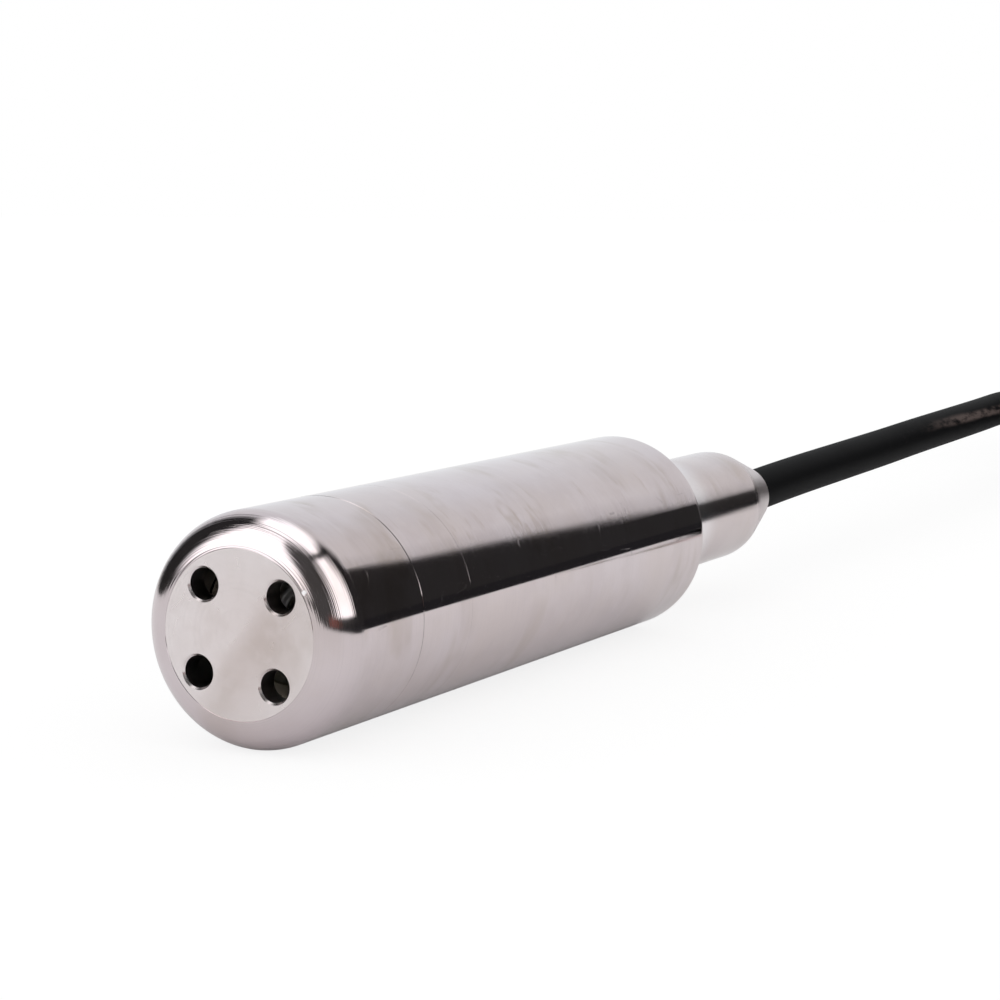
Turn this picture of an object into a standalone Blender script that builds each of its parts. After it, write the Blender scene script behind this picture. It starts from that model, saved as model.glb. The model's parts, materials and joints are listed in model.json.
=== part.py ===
# Submersible level transmitter: a stainless probe that measures liquid depth and hangs on its vented cable.
# Metres, +Z up. The origin is the centre of the nose face, and +X runs along the axis towards the cable.
# It lies on its side, so the floor is one body radius below the axis.

import math

import bmesh
import bpy
from mathutils import Vector

# Outside of the probe

BODY_RADIUS = 0.0140
CAP_LENGTH = 0.0183
SEAT_RING_LENGTH = 0.0120
TUBE_LENGTH = 0.0717
NECK_RADIUS = 0.0085
NECK_LENGTH = 0.0358
NECK_TAPER_LENGTH = 0.0136
NECK_END_RADIUS = 0.0050
NECK_FILLET = 0.0020
NECK_BLEND = 0.0110
NECK_EDGE = 0.0005
CABLE_RADIUS = 0.0034

# Nose cap

NOSE_CORNER = 0.0040
NOSE_CREASE = math.radians(7.0)
CAP_FACE_THICKNESS = 0.0030
CAP_WALL = 0.0024
CAP_THREAD_LENGTH = 0.0100
CHAMBER_STEP = 0.0018
MOUTH_CHAMFER = 0.0005
HOLE_COUNT = 4
HOLE_RADIUS = 0.00185
HOLE_CHAMFER = 0.00027
HOLE_INSET = 0.0009
HOLE_PHASE = math.radians(49.9)
LOCK_SECTION_RADIUS = 0.0006
LOCK_SETBACK = 0.0030

# Sensor seat and tube

SPIGOT_WALL = 0.0015
SPIGOT_CHAMFER = 0.0006
RELIEF_WIDTH = 0.0015
RELIEF_DEPTH = 0.0005
SEAT_LEDGE = 0.0015
SEAT_TAIL_LENGTH = 0.0095
TUBE_WALL = 0.0025
TUBE_SEAL_SECTION = 0.0013
SEAL_SETBACK = 0.0040

# Pressure sensor

SENSOR_LENGTH = 0.0120
SENSOR_EDGE = 0.0004
SENSOR_RIM = 0.0016
SENSOR_SEAL_SECTION = 0.0016
SENSOR_SEAL_SETBACK = 0.0065
DIAPHRAGM_RECESS = 0.0009
DIAPHRAGM_THICKNESS = 0.00015
WAVE_COUNT = 4
WAVE_HEIGHT = 0.0003
WAVE_STEPS = 16
HEADER_RIM = 0.0024
HEADER_DEPTH = 0.0025
LOCK_RING_INSET = 0.0022
LOCK_RING_LENGTH = 0.0030
LOCK_RING_WIDTH = 0.0021
SPANNER_SLOT_WIDTH = 0.0020
SPANNER_SLOT_DEPTH = 0.0014
PIN_COUNT = 4
PIN_RADIUS = 0.0004
PIN_CIRCLE = 0.0034
PIN_SEAT_DEPTH = 0.0018
PIN_STAND_OUT = 0.0008
VENT_RADIUS = 0.0007
VENT_WALL = 0.0003
VENT_STAND_OUT = 0.0030

# Electronics

SENSOR_BOARD_STANDOFF = 0.0012
SENSOR_BOARD_THICKNESS = 0.0012
BOARD_MARGIN = 0.0030
BOARD_THICKNESS = 0.0016
BOARD_CORNER = 0.0010
BOARD_RING_LENGTH = 0.0030
BOARD_RING_GRIP = 0.0006
BOARD_RING_STOP = 0.0010
BOARD_STATIONS = 4
CHIP_LENGTH = 0.0038
CHIP_WIDTH = 0.0040
CHIP_HEIGHT = 0.0013
LEG_COUNT = 4
LEG_WIDTH = 0.0004
LEG_REACH = 0.0010
LEG_THICKNESS = 0.0002
CAPACITOR_SIZE = (0.0032, 0.0024, 0.0020)
ARRESTER_RADIUS = 0.0016
ARRESTER_LENGTH = 0.0060
ARRESTER_CAP_LENGTH = 0.0012
ARRESTER_STEP = 0.0002
LINK_WIRE_RADIUS = 0.00035
LINK_WIRE_PITCH = 0.0024
SUPPLY_WIRE_RADIUS = 0.00045
SUPPLY_WIRE_SPREAD = 0.0022

# Cable gland inside the neck

PLUG_LENGTH = 0.0100
PLUG_CHAMFER = 0.0006
NECK_WALL = 0.0023
CABLE_GUIDE_LENGTH = 0.0176
GROMMET_LENGTH = 0.0160
GROMMET_CHAMFER = 0.0010
WASHER_THICKNESS = 0.0012
SCREW_HEAD_LENGTH = 0.0040
SCREW_HEAD_FLATS = 0.0150
CABLE_STUB = 0.0080
CRIMP_LENGTH = 0.0040
CRIMP_WALL = 0.0008
WIRE_ROOM = 0.0040

# Clearances: flat faces that meet, and round or curved ones

SEAM_GAP = 0.00015
FIT_GAP = 0.0003

# Free cable: its route from the gland, hand-picked as (x, z), the hank of the rest and its tail

CABLE_LEAD_ROUTE = [
    (0.1517, 0.0001), (0.1650, 0.0006), (0.1800, 0.0010), (0.2000, 0.0014), (0.2200, 0.0018),
    (0.2400, 0.0023), (0.2600, 0.0027), (0.2800, 0.0031), (0.2980, 0.0035), (0.3060, 0.0029),
    (0.3150, 0.0009), (0.3240, -0.0028), (0.3330, -0.0065), (0.3420, -0.0085), (0.3500, -0.0091),
]
CABLE_TAIL_ROUTE = [
    (0.3500, 0.0249), (0.3380, 0.0240), (0.3250, 0.0209), (0.3120, 0.0154), (0.3000, 0.0076),
    (0.2880, -0.0002), (0.2750, -0.0057), (0.2620, -0.0088), (0.2500, -0.0097), (0.2300, -0.0097),
]
HANK_NEAR_X = 0.3720
HANK_STRAIGHT = 0.0620
HANK_COLUMNS = 3
HANK_ROWS = 6
HANK_INNER_TURN = 0.0204
HANK_EDGE = 0.0030
HANK_END_STEPS = 10
TIE_THICKNESS = 0.0012
TIE_WIDTH = 0.0048
TIE_HEAD = (0.0080, 0.0072, 0.0050)
SLEEVE_LENGTH = 0.0160
SLEEVE_WALL = 0.0006
FERRULE_LENGTH = 0.0060
FERRULE_PIN_LENGTH = 0.0080
FERRULE_PIN_RADIUS = 0.0006
FERRULE_RADIUS = 0.0014

# Facets round each piece

BODY_SEGMENTS = 40
INNER_SEGMENTS = 24
SMALL_SEGMENTS = 12
SEAL_STEPS = 6
LEAD_SPACING = 0.0160
INNER_WIRE_SPACING = 0.0025
END_WIRE_SPACING = 0.0040
MERGE = 1e-6
CUT_EXTRA = 0.0005

# Stations along the axis

SEAM_1 = CAP_LENGTH
SEAM_2 = SEAM_1 + SEAT_RING_LENGTH
BODY_END = SEAM_2 + TUBE_LENGTH
GLAND_END = BODY_END + NECK_LENGTH + NECK_TAPER_LENGTH
FLOOR = -BODY_RADIUS

# Radii that follow from the walls

FACE_RADIUS = BODY_RADIUS - NOSE_CORNER
CORNER_RADIUS = NOSE_CORNER / (1 - math.sin(NOSE_CREASE))
HOLE_CIRCLE = FACE_RADIUS - HOLE_INSET - HOLE_RADIUS
CAP_BORE = BODY_RADIUS - CAP_WALL
CHAMBER_RADIUS = CAP_BORE - CHAMBER_STEP
SPIGOT_RADIUS = CAP_BORE - FIT_GAP
SPIGOT_LENGTH = CAP_THREAD_LENGTH - FIT_GAP
SEAT_BORE = SPIGOT_RADIUS - SPIGOT_WALL
SENSOR_RADIUS = SEAT_BORE - FIT_GAP
SEAT_REAR_BORE = SENSOR_RADIUS - SEAT_LEDGE
TUBE_BORE = BODY_RADIUS - TUBE_WALL
TUBE_FIT_RADIUS = TUBE_BORE - FIT_GAP
GLAND_BORE = NECK_RADIUS - NECK_WALL
GLAND_FIT_RADIUS = GLAND_BORE - FIT_GAP
CABLE_BORE = CABLE_RADIUS + FIT_GAP
CABLE_DIAMETER = 2 * CABLE_RADIUS

# Places that follow from what each piece rests against

LOCK_RING_X = SEAM_1 - SPIGOT_LENGTH + LOCK_RING_INSET
SENSOR_X = LOCK_RING_X + LOCK_RING_LENGTH + FIT_GAP
SENSOR_END = SENSOR_X + SENSOR_LENGTH
HEADER_FLOOR = SENSOR_END - HEADER_DEPTH
SENSOR_BOARD_X = SENSOR_END + SENSOR_BOARD_STANDOFF
SENSOR_BOARD_END = SENSOR_BOARD_X + SENSOR_BOARD_THICKNESS
FRONT_RING_X = SEAM_2 + SEAT_TAIL_LENGTH + FIT_GAP
SCREW_HEAD_X = BODY_END - PLUG_LENGTH - FIT_GAP - SCREW_HEAD_LENGTH
CABLE_TAIL_X = SCREW_HEAD_X - CABLE_STUB
REAR_RING_X = CABLE_TAIL_X - WIRE_ROOM - BOARD_RING_LENGTH
BOARD_FRONT = FRONT_RING_X + BOARD_RING_STOP + FIT_GAP
BOARD_REAR = REAR_RING_X + BOARD_RING_LENGTH - BOARD_RING_STOP - FIT_GAP
BOARD_HALF_WIDTH = TUBE_BORE - BOARD_MARGIN
BOARD_TOP = BOARD_THICKNESS / 2 + SEAM_GAP
BOARD_PITCH = (BOARD_REAR - BOARD_FRONT) / BOARD_STATIONS
GROMMET_END = GLAND_END - CABLE_GUIDE_LENGTH - 2 * FIT_GAP
GROMMET_X = GROMMET_END - GROMMET_LENGTH
WASHER_X = GROMMET_X - FIT_GAP - WASHER_THICKNESS
SCREW_END = WASHER_X - FIT_GAP
HANK_LIFT = TIE_THICKNESS + FIT_GAP
HANK_OUTER = HANK_INNER_TURN + (HANK_COLUMNS - 1) * CABLE_DIAMETER + CABLE_RADIUS
HANK_INNER = HANK_INNER_TURN - CABLE_RADIUS
HANK_HEIGHT = HANK_ROWS * CABLE_DIAMETER
HANK_CENTRE_Y = CABLE_RADIUS - HANK_OUTER
HANK_LEVEL = FLOOR + HANK_LIFT + HANK_HEIGHT / 2
TAIL_Y = 2 * HANK_CENTRE_Y


def clear_scene():
    for found in list(bpy.data.objects):
        bpy.data.objects.remove(found)


def finish_of(name, colour, roughness, metallic):
    material = bpy.data.materials.get(name)
    if material:
        return material
    material = bpy.data.materials.new(name)
    material.use_nodes = True
    shader = material.node_tree.nodes["Principled BSDF"]
    shader.inputs["Base Color"].default_value = (*colour, 1.0)
    shader.inputs["Roughness"].default_value = roughness
    shader.inputs["Metallic"].default_value = metallic
    return material


STEEL = ("stainless", (0.62, 0.60, 0.62), 0.22, 1.0)
STEEL_SATIN = ("stainless_satin", (0.60, 0.58, 0.59), 0.38, 1.0)
STEEL_FOIL = ("steel_foil", (0.68, 0.67, 0.66), 0.18, 1.0)
BRASS = ("nickel_brass", (0.66, 0.62, 0.50), 0.30, 1.0)
TINNED = ("tinned_copper", (0.72, 0.70, 0.66), 0.30, 1.0)
RUBBER = ("black_rubber", (0.03, 0.03, 0.03), 0.70, 0.0)
NYLON = ("white_nylon", (0.85, 0.85, 0.82), 0.45, 0.0)
BOARD_GREEN = ("circuit_board", (0.03, 0.20, 0.09), 0.45, 0.0)
CHIP_BLACK = ("chip_body", (0.03, 0.03, 0.035), 0.50, 0.0)
CAPACITOR_YELLOW = ("capacitor_body", (0.80, 0.56, 0.10), 0.45, 0.0)
CERAMIC = ("arrester_ceramic", (0.80, 0.76, 0.72), 0.40, 0.0)
GOLD = ("gilt_pin", (0.80, 0.62, 0.25), 0.25, 1.0)
CABLE_BLACK = ("cable_jacket", (0.025, 0.025, 0.028), 0.42, 0.0)
WIRE_RED = ("red_wire", (0.55, 0.03, 0.03), 0.40, 0.0)
WIRE_BLACK = ("black_wire", (0.03, 0.03, 0.03), 0.40, 0.0)
WIRE_WHITE = ("white_wire", (0.80, 0.80, 0.78), 0.40, 0.0)
WIRE_YELLOW = ("yellow_wire", (0.75, 0.55, 0.04), 0.40, 0.0)
CLEAR_TUBE = ("vent_tube", (0.72, 0.74, 0.74), 0.30, 0.0)

# Stripped end: name, finish, radius, length, place in the sleeve as (y, z) and sideways spread
END_WIRES = (
    ("end_wire_red", WIRE_RED, 0.0009, 0.034, (0.0017, 0.0), 0.0065),
    ("end_wire_black", WIRE_BLACK, 0.0009, 0.036, (-0.0017, 0.0), -0.0065),
    ("end_vent_tube", CLEAR_TUBE, 0.0008, 0.022, (0.0, 0.0015), 0.0008),
    ("end_drain_wire", TINNED, 0.0006, 0.026, (0.0, -0.0015), -0.0014),
)


def place(name, mesh, finish, location=(0.0, 0.0, 0.0), rotation=(0.0, 0.0, 0.0)):
    piece = bpy.data.objects.new(name, mesh)
    mesh.materials.append(finish_of(*finish))
    piece.location = location
    piece.rotation_euler = rotation
    bpy.context.scene.collection.objects.link(piece)
    return piece


def helper(name, mesh, location=(0.0, 0.0, 0.0), rotation=(0.0, 0.0, 0.0)):
    piece = bpy.data.objects.new(name, mesh)
    piece.location = location
    piece.rotation_euler = rotation
    piece.display_type = "WIRE"
    piece.hide_render = True
    bpy.context.scene.collection.objects.link(piece)
    return piece


def boolean(target, other, operation):
    step = target.modifiers.new(other.name, "BOOLEAN")
    step.operation = operation
    step.solver = "EXACT"
    step.object = other


def to_mesh(name, shape, smooth=True):
    bmesh.ops.remove_doubles(shape, verts=shape.verts, dist=MERGE)
    bmesh.ops.recalc_face_normals(shape, faces=shape.faces)
    mesh = bpy.data.meshes.new(name)
    shape.to_mesh(mesh)
    shape.free()
    if smooth:
        mesh.shade_smooth()
        mesh.set_sharp_from_angle(angle=math.radians(32.0))
    return mesh


def arc(x, r, radius, start, end, steps):
    """Points of an arc about (x, r), from one angle to the other in degrees."""
    angles = [math.radians(start + (end - start) * k / steps) for k in range(steps + 1)]
    return [(x + radius * math.cos(a), r + radius * math.sin(a)) for a in angles]


def turned(name, profile, segments):
    """Turns (x, radius) points about X. A profile that starts off the axis is closed into a ring."""
    shape = bmesh.new()
    points = [shape.verts.new((x, 0.0, r)) for x, r in profile]
    pairs = list(zip(points, points[1:]))
    if profile[0][1] > 0.0:
        pairs.append((points[-1], points[0]))
    edges = [shape.edges.new(pair) for pair in pairs]
    bmesh.ops.spin(
        shape, geom=points + edges, cent=(0, 0, 0), axis=(1, 0, 0),
        angle=2 * math.pi, steps=segments, use_merge=True,
    )
    return to_mesh(name, shape)


def turned_rod(name, length, radius, segments=SMALL_SEGMENTS):
    return turned(name, [(0.0, 0.0), (0.0, radius), (length, radius), (length, 0.0)], segments)


def turned_sleeve(name, length, bore, radius, segments=SMALL_SEGMENTS):
    profile = [(0.0, bore), (0.0, radius), (length, radius), (length, bore)]
    return turned(name, profile, segments)


def seal_ring(name, ring_radius, section_radius, segments):
    """A round rubber ring whose section is centred on x = 0."""
    section = arc(0.0, ring_radius, section_radius, 0, 360, SEAL_STEPS)[:-1]
    return turned(name, section, segments)


def prism(name, outline, low, high, smooth=False):
    """Extrudes an outline of (x, z) points along Y."""
    shape = bmesh.new()
    face = shape.faces.new([shape.verts.new((x, low, z)) for x, z in outline])
    moved = bmesh.ops.extrude_face_region(shape, geom=[face])["geom"]
    verts = [item for item in moved if isinstance(item, bmesh.types.BMVert)]
    bmesh.ops.translate(shape, verts=verts, vec=(0.0, high - low, 0.0))
    return to_mesh(name, shape, smooth)


def block(name, low, high):
    (x0, y0, z0), (x1, y1, z1) = low, high
    return prism(name, [(x0, z0), (x1, z0), (x1, z1), (x0, z1)], y0, y1)


def rounded_outline(half_width, half_height, corner, steps=4):
    """A rectangle about (0, 0) with round corners."""
    centres = [(1, 1, 0), (-1, 1, 90), (-1, -1, 180), (1, -1, 270)]
    outline = []
    for side, level, start in centres:
        x = side * (half_width - corner)
        z = level * (half_height - corner)
        outline += arc(x, z, corner, start, start + 90, steps)
    return outline


def smooth_route(points, spacing):
    """Evenly spaced points along a smooth curve through the given ones."""
    knots = [Vector(p) for p in points]
    knots = [2 * knots[0] - knots[1]] + knots + [2 * knots[-1] - knots[-2]]
    fine = [knots[1]]
    for a, b, c, d in zip(knots, knots[1:], knots[2:], knots[3:]):
        for k in range(1, 17):
            t = k / 16
            bend = (2 * a - 5 * b + 4 * c - d) * t * t + (3 * b - a - 3 * c + d) * t ** 3
            fine.append(b + ((c - a) * t + bend) / 2)
    reach = [0.0]
    for a, b in zip(fine, fine[1:]):
        reach.append(reach[-1] + (b - a).length)
    count = max(2, round(reach[-1] / spacing))
    route = []
    k = 0
    for n in range(count + 1):
        goal = reach[-1] * n / count
        while k < len(fine) - 2 and reach[k + 1] < goal:
            k += 1
        share = (goal - reach[k]) / (reach[k + 1] - reach[k])
        route.append(fine[k].lerp(fine[k + 1], share))
    return route


def wire(name, points, radius, finish, spacing, sides=1):
    """A round wire or cable as a curve object, along a smooth route through the points."""
    route = smooth_route(points, spacing)
    curve = bpy.data.curves.new(name, "CURVE")
    curve.dimensions = "3D"
    curve.bevel_depth = radius
    curve.bevel_resolution = sides
    curve.use_fill_caps = True
    spline = curve.splines.new("POLY")
    spline.points.add(len(route) - 1)
    for point, place_of_point in zip(spline.points, route):
        point.co = (*place_of_point, 1.0)
    piece = bpy.data.objects.new(name, curve)
    curve.materials.append(finish_of(*finish))
    bpy.context.scene.collection.objects.link(piece)
    return piece


def round_positions(count, radius, phase):
    """(y, z) places evenly round the axis."""
    turns = [phase + 2 * math.pi * k / count for k in range(count)]
    return [(radius * math.cos(a), radius * math.sin(a)) for a in turns]


def lock_groove():
    """(centre x, half width, bottom radius) of the cap's groove for its lock ring."""
    half_width = LOCK_SECTION_RADIUS + FIT_GAP
    centre = CAP_LENGTH - LOCK_SETBACK - half_width
    bottom = SPIGOT_RADIUS + 2 * FIT_GAP + 2 * LOCK_SECTION_RADIUS
    return centre, half_width, bottom


def nose_cap():
    """Perforated cap: a turned cup with a round nose corner, a pressure chamber and a threaded mouth."""
    rear = CAP_LENGTH - SEAM_GAP
    thread_start = CAP_LENGTH - CAP_THREAD_LENGTH
    groove, half_width, bottom = lock_groove()
    profile = [(0.0, 0.0)]
    centre = CORNER_RADIUS * math.cos(NOSE_CREASE)
    tilt = 180 - math.degrees(NOSE_CREASE)
    profile += arc(centre, BODY_RADIUS - CORNER_RADIUS, CORNER_RADIUS, tilt, 90, 8)
    profile += [
        (rear, BODY_RADIUS),
        (rear, CAP_BORE + MOUTH_CHAMFER),
        (rear - MOUTH_CHAMFER, CAP_BORE),
        (groove + half_width, CAP_BORE),
        (groove + half_width, bottom),
        (groove - half_width, bottom),
        (groove - half_width, CAP_BORE),
        (thread_start, CAP_BORE),
        (thread_start, CHAMBER_RADIUS),
        (CAP_FACE_THICKNESS, CHAMBER_RADIUS),
        (CAP_FACE_THICKNESS, 0.0),
    ]
    cap = place("nose_cap", turned("nose_cap", profile, BODY_SEGMENTS), STEEL)
    flare = HOLE_RADIUS + HOLE_CHAMFER + CUT_EXTRA
    drill = [
        (-CUT_EXTRA, 0.0),
        (-CUT_EXTRA, flare),
        (HOLE_CHAMFER, HOLE_RADIUS),
        (CAP_FACE_THICKNESS + CUT_EXTRA, HOLE_RADIUS),
        (CAP_FACE_THICKNESS + CUT_EXTRA, 0.0),
    ]
    for number, (y, z) in enumerate(round_positions(HOLE_COUNT, HOLE_CIRCLE, HOLE_PHASE), 1):
        name = f"nose_drill_{number}"
        cutter = helper(name, turned(name, drill, 2 * SMALL_SEGMENTS), (0.0, y, z))
        boolean(cap, cutter, "DIFFERENCE")


def cap_lock_ring():
    """Rubber ring in the cap's groove that grips the spigot."""
    centre, _, _ = lock_groove()
    ring_radius = SPIGOT_RADIUS + FIT_GAP + LOCK_SECTION_RADIUS
    mesh = seal_ring("cap_lock_ring", ring_radius, LOCK_SECTION_RADIUS, BODY_SEGMENTS)
    place("cap_lock_ring", mesh, RUBBER, (centre, 0.0, 0.0))


def tube_seal_groove(centre):
    """Profile points of an O-ring groove, cut from the radius that fits the tube, front to rear."""
    half_width = TUBE_SEAL_SECTION / 2 + FIT_GAP
    bottom = TUBE_BORE - TUBE_SEAL_SECTION - 2 * FIT_GAP
    return [
        (centre - half_width, TUBE_FIT_RADIUS),
        (centre - half_width, bottom),
        (centre + half_width, bottom),
        (centre + half_width, TUBE_FIT_RADIUS),
    ]


def sensor_seat():
    """Ring between the seams, with a threaded spigot at each end and the bore that holds the sensor."""
    end = SEAT_RING_LENGTH + SEAT_TAIL_LENGTH
    ledge = SENSOR_END + FIT_GAP - SEAM_1
    profile = [
        (-SPIGOT_LENGTH, SEAT_BORE),
        (-SPIGOT_LENGTH, SPIGOT_RADIUS - SPIGOT_CHAMFER),
        (-SPIGOT_LENGTH + SPIGOT_CHAMFER, SPIGOT_RADIUS),
        (-RELIEF_WIDTH - RELIEF_DEPTH, SPIGOT_RADIUS),
        (-RELIEF_WIDTH, SPIGOT_RADIUS - RELIEF_DEPTH),
        (0.0, SPIGOT_RADIUS - RELIEF_DEPTH),
        (0.0, BODY_RADIUS),
        (SEAT_RING_LENGTH, BODY_RADIUS),
        (SEAT_RING_LENGTH, TUBE_FIT_RADIUS),
    ]
    profile += tube_seal_groove(SEAT_RING_LENGTH + SEAL_SETBACK)
    profile += [
        (end - SPIGOT_CHAMFER, TUBE_FIT_RADIUS),
        (end, TUBE_FIT_RADIUS - SPIGOT_CHAMFER),
        (end, SEAT_REAR_BORE),
        (ledge, SEAT_REAR_BORE),
        (ledge, SEAT_BORE),
    ]
    place("sensor_seat", turned("sensor_seat", profile, BODY_SEGMENTS), STEEL, (SEAM_1, 0.0, 0.0))


def tube_seals():
    ring_radius = TUBE_BORE - FIT_GAP - TUBE_SEAL_SECTION / 2
    for name, x in (("seat_o_ring", SEAM_2 + SEAL_SETBACK), ("plug_o_ring", BODY_END - SEAL_SETBACK)):
        mesh = seal_ring(name, ring_radius, TUBE_SEAL_SECTION / 2, INNER_SEGMENTS)
        place(name, mesh, RUBBER, (x, 0.0, 0.0))


def housing_tube():
    """Body tube between the seat and the cable gland, with its bore opened out at both mouths."""
    front = SEAM_GAP
    profile = [
        (front, TUBE_BORE + MOUTH_CHAMFER),
        (front, BODY_RADIUS),
        (TUBE_LENGTH - NECK_EDGE / 2, BODY_RADIUS),
        (TUBE_LENGTH, BODY_RADIUS - NECK_EDGE / 2),
        (TUBE_LENGTH, TUBE_BORE),
        (front + MOUTH_CHAMFER, TUBE_BORE),
    ]
    mesh = turned("housing_tube", profile, BODY_SEGMENTS)
    place("housing_tube", mesh, STEEL, (SEAM_2, 0.0, 0.0))


def sensor_body():
    """Sensor capsule: a front recess for the diaphragm, a side groove and a glass-sealed header behind."""
    recess_radius = SENSOR_RADIUS - SENSOR_RIM
    groove_half = SENSOR_SEAL_SECTION / 2 + FIT_GAP
    groove_bottom = SEAT_BORE - SENSOR_SEAL_SECTION - 2 * FIT_GAP
    header_radius = SENSOR_RADIUS - HEADER_RIM
    floor = SENSOR_LENGTH - HEADER_DEPTH
    profile = [
        (DIAPHRAGM_RECESS, 0.0),
        (DIAPHRAGM_RECESS, recess_radius),
        (0.0, recess_radius),
        (0.0, SENSOR_RADIUS - SENSOR_EDGE),
        (SENSOR_EDGE, SENSOR_RADIUS),
        (SENSOR_SEAL_SETBACK - groove_half, SENSOR_RADIUS),
        (SENSOR_SEAL_SETBACK - groove_half, groove_bottom),
        (SENSOR_SEAL_SETBACK + groove_half, groove_bottom),
        (SENSOR_SEAL_SETBACK + groove_half, SENSOR_RADIUS),
        (SENSOR_LENGTH, SENSOR_RADIUS),
        (SENSOR_LENGTH, header_radius),
        (floor, header_radius),
        (floor, 0.0),
    ]
    mesh = turned("sensor_body", profile, INNER_SEGMENTS)
    body = place("sensor_body", mesh, STEEL_SATIN, (SENSOR_X, 0.0, 0.0))
    for number, (y, z) in enumerate(pin_positions(), 1):
        name = f"pin_seat_{number}"
        bore = turned_rod(name, PIN_SEAT_DEPTH + CUT_EXTRA, PIN_RADIUS + FIT_GAP)
        cutter = helper(name, bore, (HEADER_FLOOR - PIN_SEAT_DEPTH, y, z))
        boolean(body, cutter, "DIFFERENCE")


def sensor_diaphragm():
    """Corrugated foil disc in the sensor's front recess."""
    radius = SENSOR_RADIUS - SENSOR_RIM - FIT_GAP
    wave = []
    for k in range(WAVE_STEPS + 1):
        r = radius * k / WAVE_STEPS
        wave.append((WAVE_HEIGHT * (1 - math.cos(2 * math.pi * WAVE_COUNT * k / WAVE_STEPS)) / 2, r))
    back = [(x + DIAPHRAGM_THICKNESS, r) for x, r in reversed(wave)]
    mesh = turned("sensor_diaphragm", wave + back, INNER_SEGMENTS)
    x = SENSOR_X + DIAPHRAGM_RECESS - FIT_GAP / 2 - DIAPHRAGM_THICKNESS - WAVE_HEIGHT
    place("sensor_diaphragm", mesh, STEEL_FOIL, (x, 0.0, 0.0))


def sensor_o_ring():
    ring_radius = SEAT_BORE - FIT_GAP - SENSOR_SEAL_SECTION / 2
    mesh = seal_ring("sensor_o_ring", ring_radius, SENSOR_SEAL_SECTION / 2, INNER_SEGMENTS)
    place("sensor_o_ring", mesh, RUBBER, (SENSOR_X + SENSOR_SEAL_SETBACK, 0.0, 0.0))


def sensor_lock_ring():
    """Ring nut that holds the sensor in its seat, with two slots for a pin spanner."""
    bore = SENSOR_RADIUS - LOCK_RING_WIDTH
    mesh = turned_sleeve("sensor_lock_ring", LOCK_RING_LENGTH, bore, SENSOR_RADIUS, INNER_SEGMENTS)
    ring = place("sensor_lock_ring", mesh, BRASS, (LOCK_RING_X, 0.0, 0.0))
    reach = SENSOR_RADIUS + CUT_EXTRA
    half_width = SPANNER_SLOT_WIDTH / 2
    low = (-CUT_EXTRA, -reach, -half_width)
    high = (SPANNER_SLOT_DEPTH, reach, half_width)
    slot = helper("spanner_slot", block("spanner_slot", low, high), (LOCK_RING_X, 0.0, 0.0))
    boolean(ring, slot, "DIFFERENCE")


def pin_positions():
    return round_positions(PIN_COUNT, PIN_CIRCLE, math.pi / PIN_COUNT)


def header_pins():
    """Gilt pins sealed in the header, which carry the sensor board."""
    start = HEADER_FLOOR - PIN_SEAT_DEPTH + FIT_GAP
    length = SENSOR_BOARD_END + PIN_STAND_OUT - start
    for number, (y, z) in enumerate(pin_positions(), 1):
        name = f"header_pin_{number}"
        place(name, turned_rod(name, length, PIN_RADIUS), GOLD, (start, y, z))


def sensor_vent_tube():
    """Tube that lets the air from the cable reach the back of the sensor."""
    start = HEADER_FLOOR + SEAM_GAP
    length = SENSOR_BOARD_END + VENT_STAND_OUT - start
    mesh = turned_sleeve("sensor_vent_tube", length, VENT_RADIUS - VENT_WALL, VENT_RADIUS)
    place("sensor_vent_tube", mesh, STEEL_SATIN, (start, 0.0, 0.0))


def sensor_board():
    """Round board soldered to the header pins."""
    radius = SEAT_REAR_BORE - 2 * FIT_GAP
    mesh = turned_sleeve(
        "sensor_board", SENSOR_BOARD_THICKNESS, VENT_RADIUS + FIT_GAP, radius, INNER_SEGMENTS
    )
    board = place("sensor_board", mesh, BOARD_GREEN, (SENSOR_BOARD_X, 0.0, 0.0))
    for number, (y, z) in enumerate(pin_positions(), 1):
        name = f"board_drill_{number}"
        drill = turned_rod(name, SENSOR_BOARD_THICKNESS + 2 * CUT_EXTRA, PIN_RADIUS + FIT_GAP)
        cutter = helper(name, drill, (SENSOR_BOARD_X - CUT_EXTRA, y, z))
        boolean(board, cutter, "DIFFERENCE")


def board_rings():
    """Nylon rings in the tube that grip the edges of the main board and stop it lengthways."""
    slot_width = BOARD_HALF_WIDTH + FIT_GAP
    slot_height = BOARD_THICKNESS / 2 + FIT_GAP
    slot_depth = BOARD_RING_LENGTH - BOARD_RING_STOP
    bore = BOARD_HALF_WIDTH - BOARD_RING_GRIP
    slots = (
        ("front_board_ring", FRONT_RING_X, BOARD_RING_STOP, BOARD_RING_LENGTH + CUT_EXTRA),
        ("rear_board_ring", REAR_RING_X, -CUT_EXTRA, slot_depth),
    )
    for name, x, slot_start, slot_end in slots:
        mesh = turned_sleeve(name, BOARD_RING_LENGTH, bore, TUBE_FIT_RADIUS, INNER_SEGMENTS)
        ring = place(name, mesh, NYLON, (x, 0.0, 0.0))
        low = (slot_start, -slot_width, -slot_height)
        high = (slot_end, slot_width, slot_height)
        cutter = helper(f"{name}_slot", block(f"{name}_slot", low, high), (x, 0.0, 0.0))
        boolean(ring, cutter, "DIFFERENCE")


def main_board():
    """Amplifier board, held by its long edges."""
    half_length = (BOARD_REAR - BOARD_FRONT) / 2
    outline = rounded_outline(half_length, BOARD_HALF_WIDTH, BOARD_CORNER)
    mesh = prism("main_board", outline, -BOARD_THICKNESS / 2, BOARD_THICKNESS / 2)
    middle = (BOARD_FRONT + half_length, 0.0, 0.0)
    place("main_board", mesh, BOARD_GREEN, middle, (math.pi / 2, 0.0, 0.0))


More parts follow.
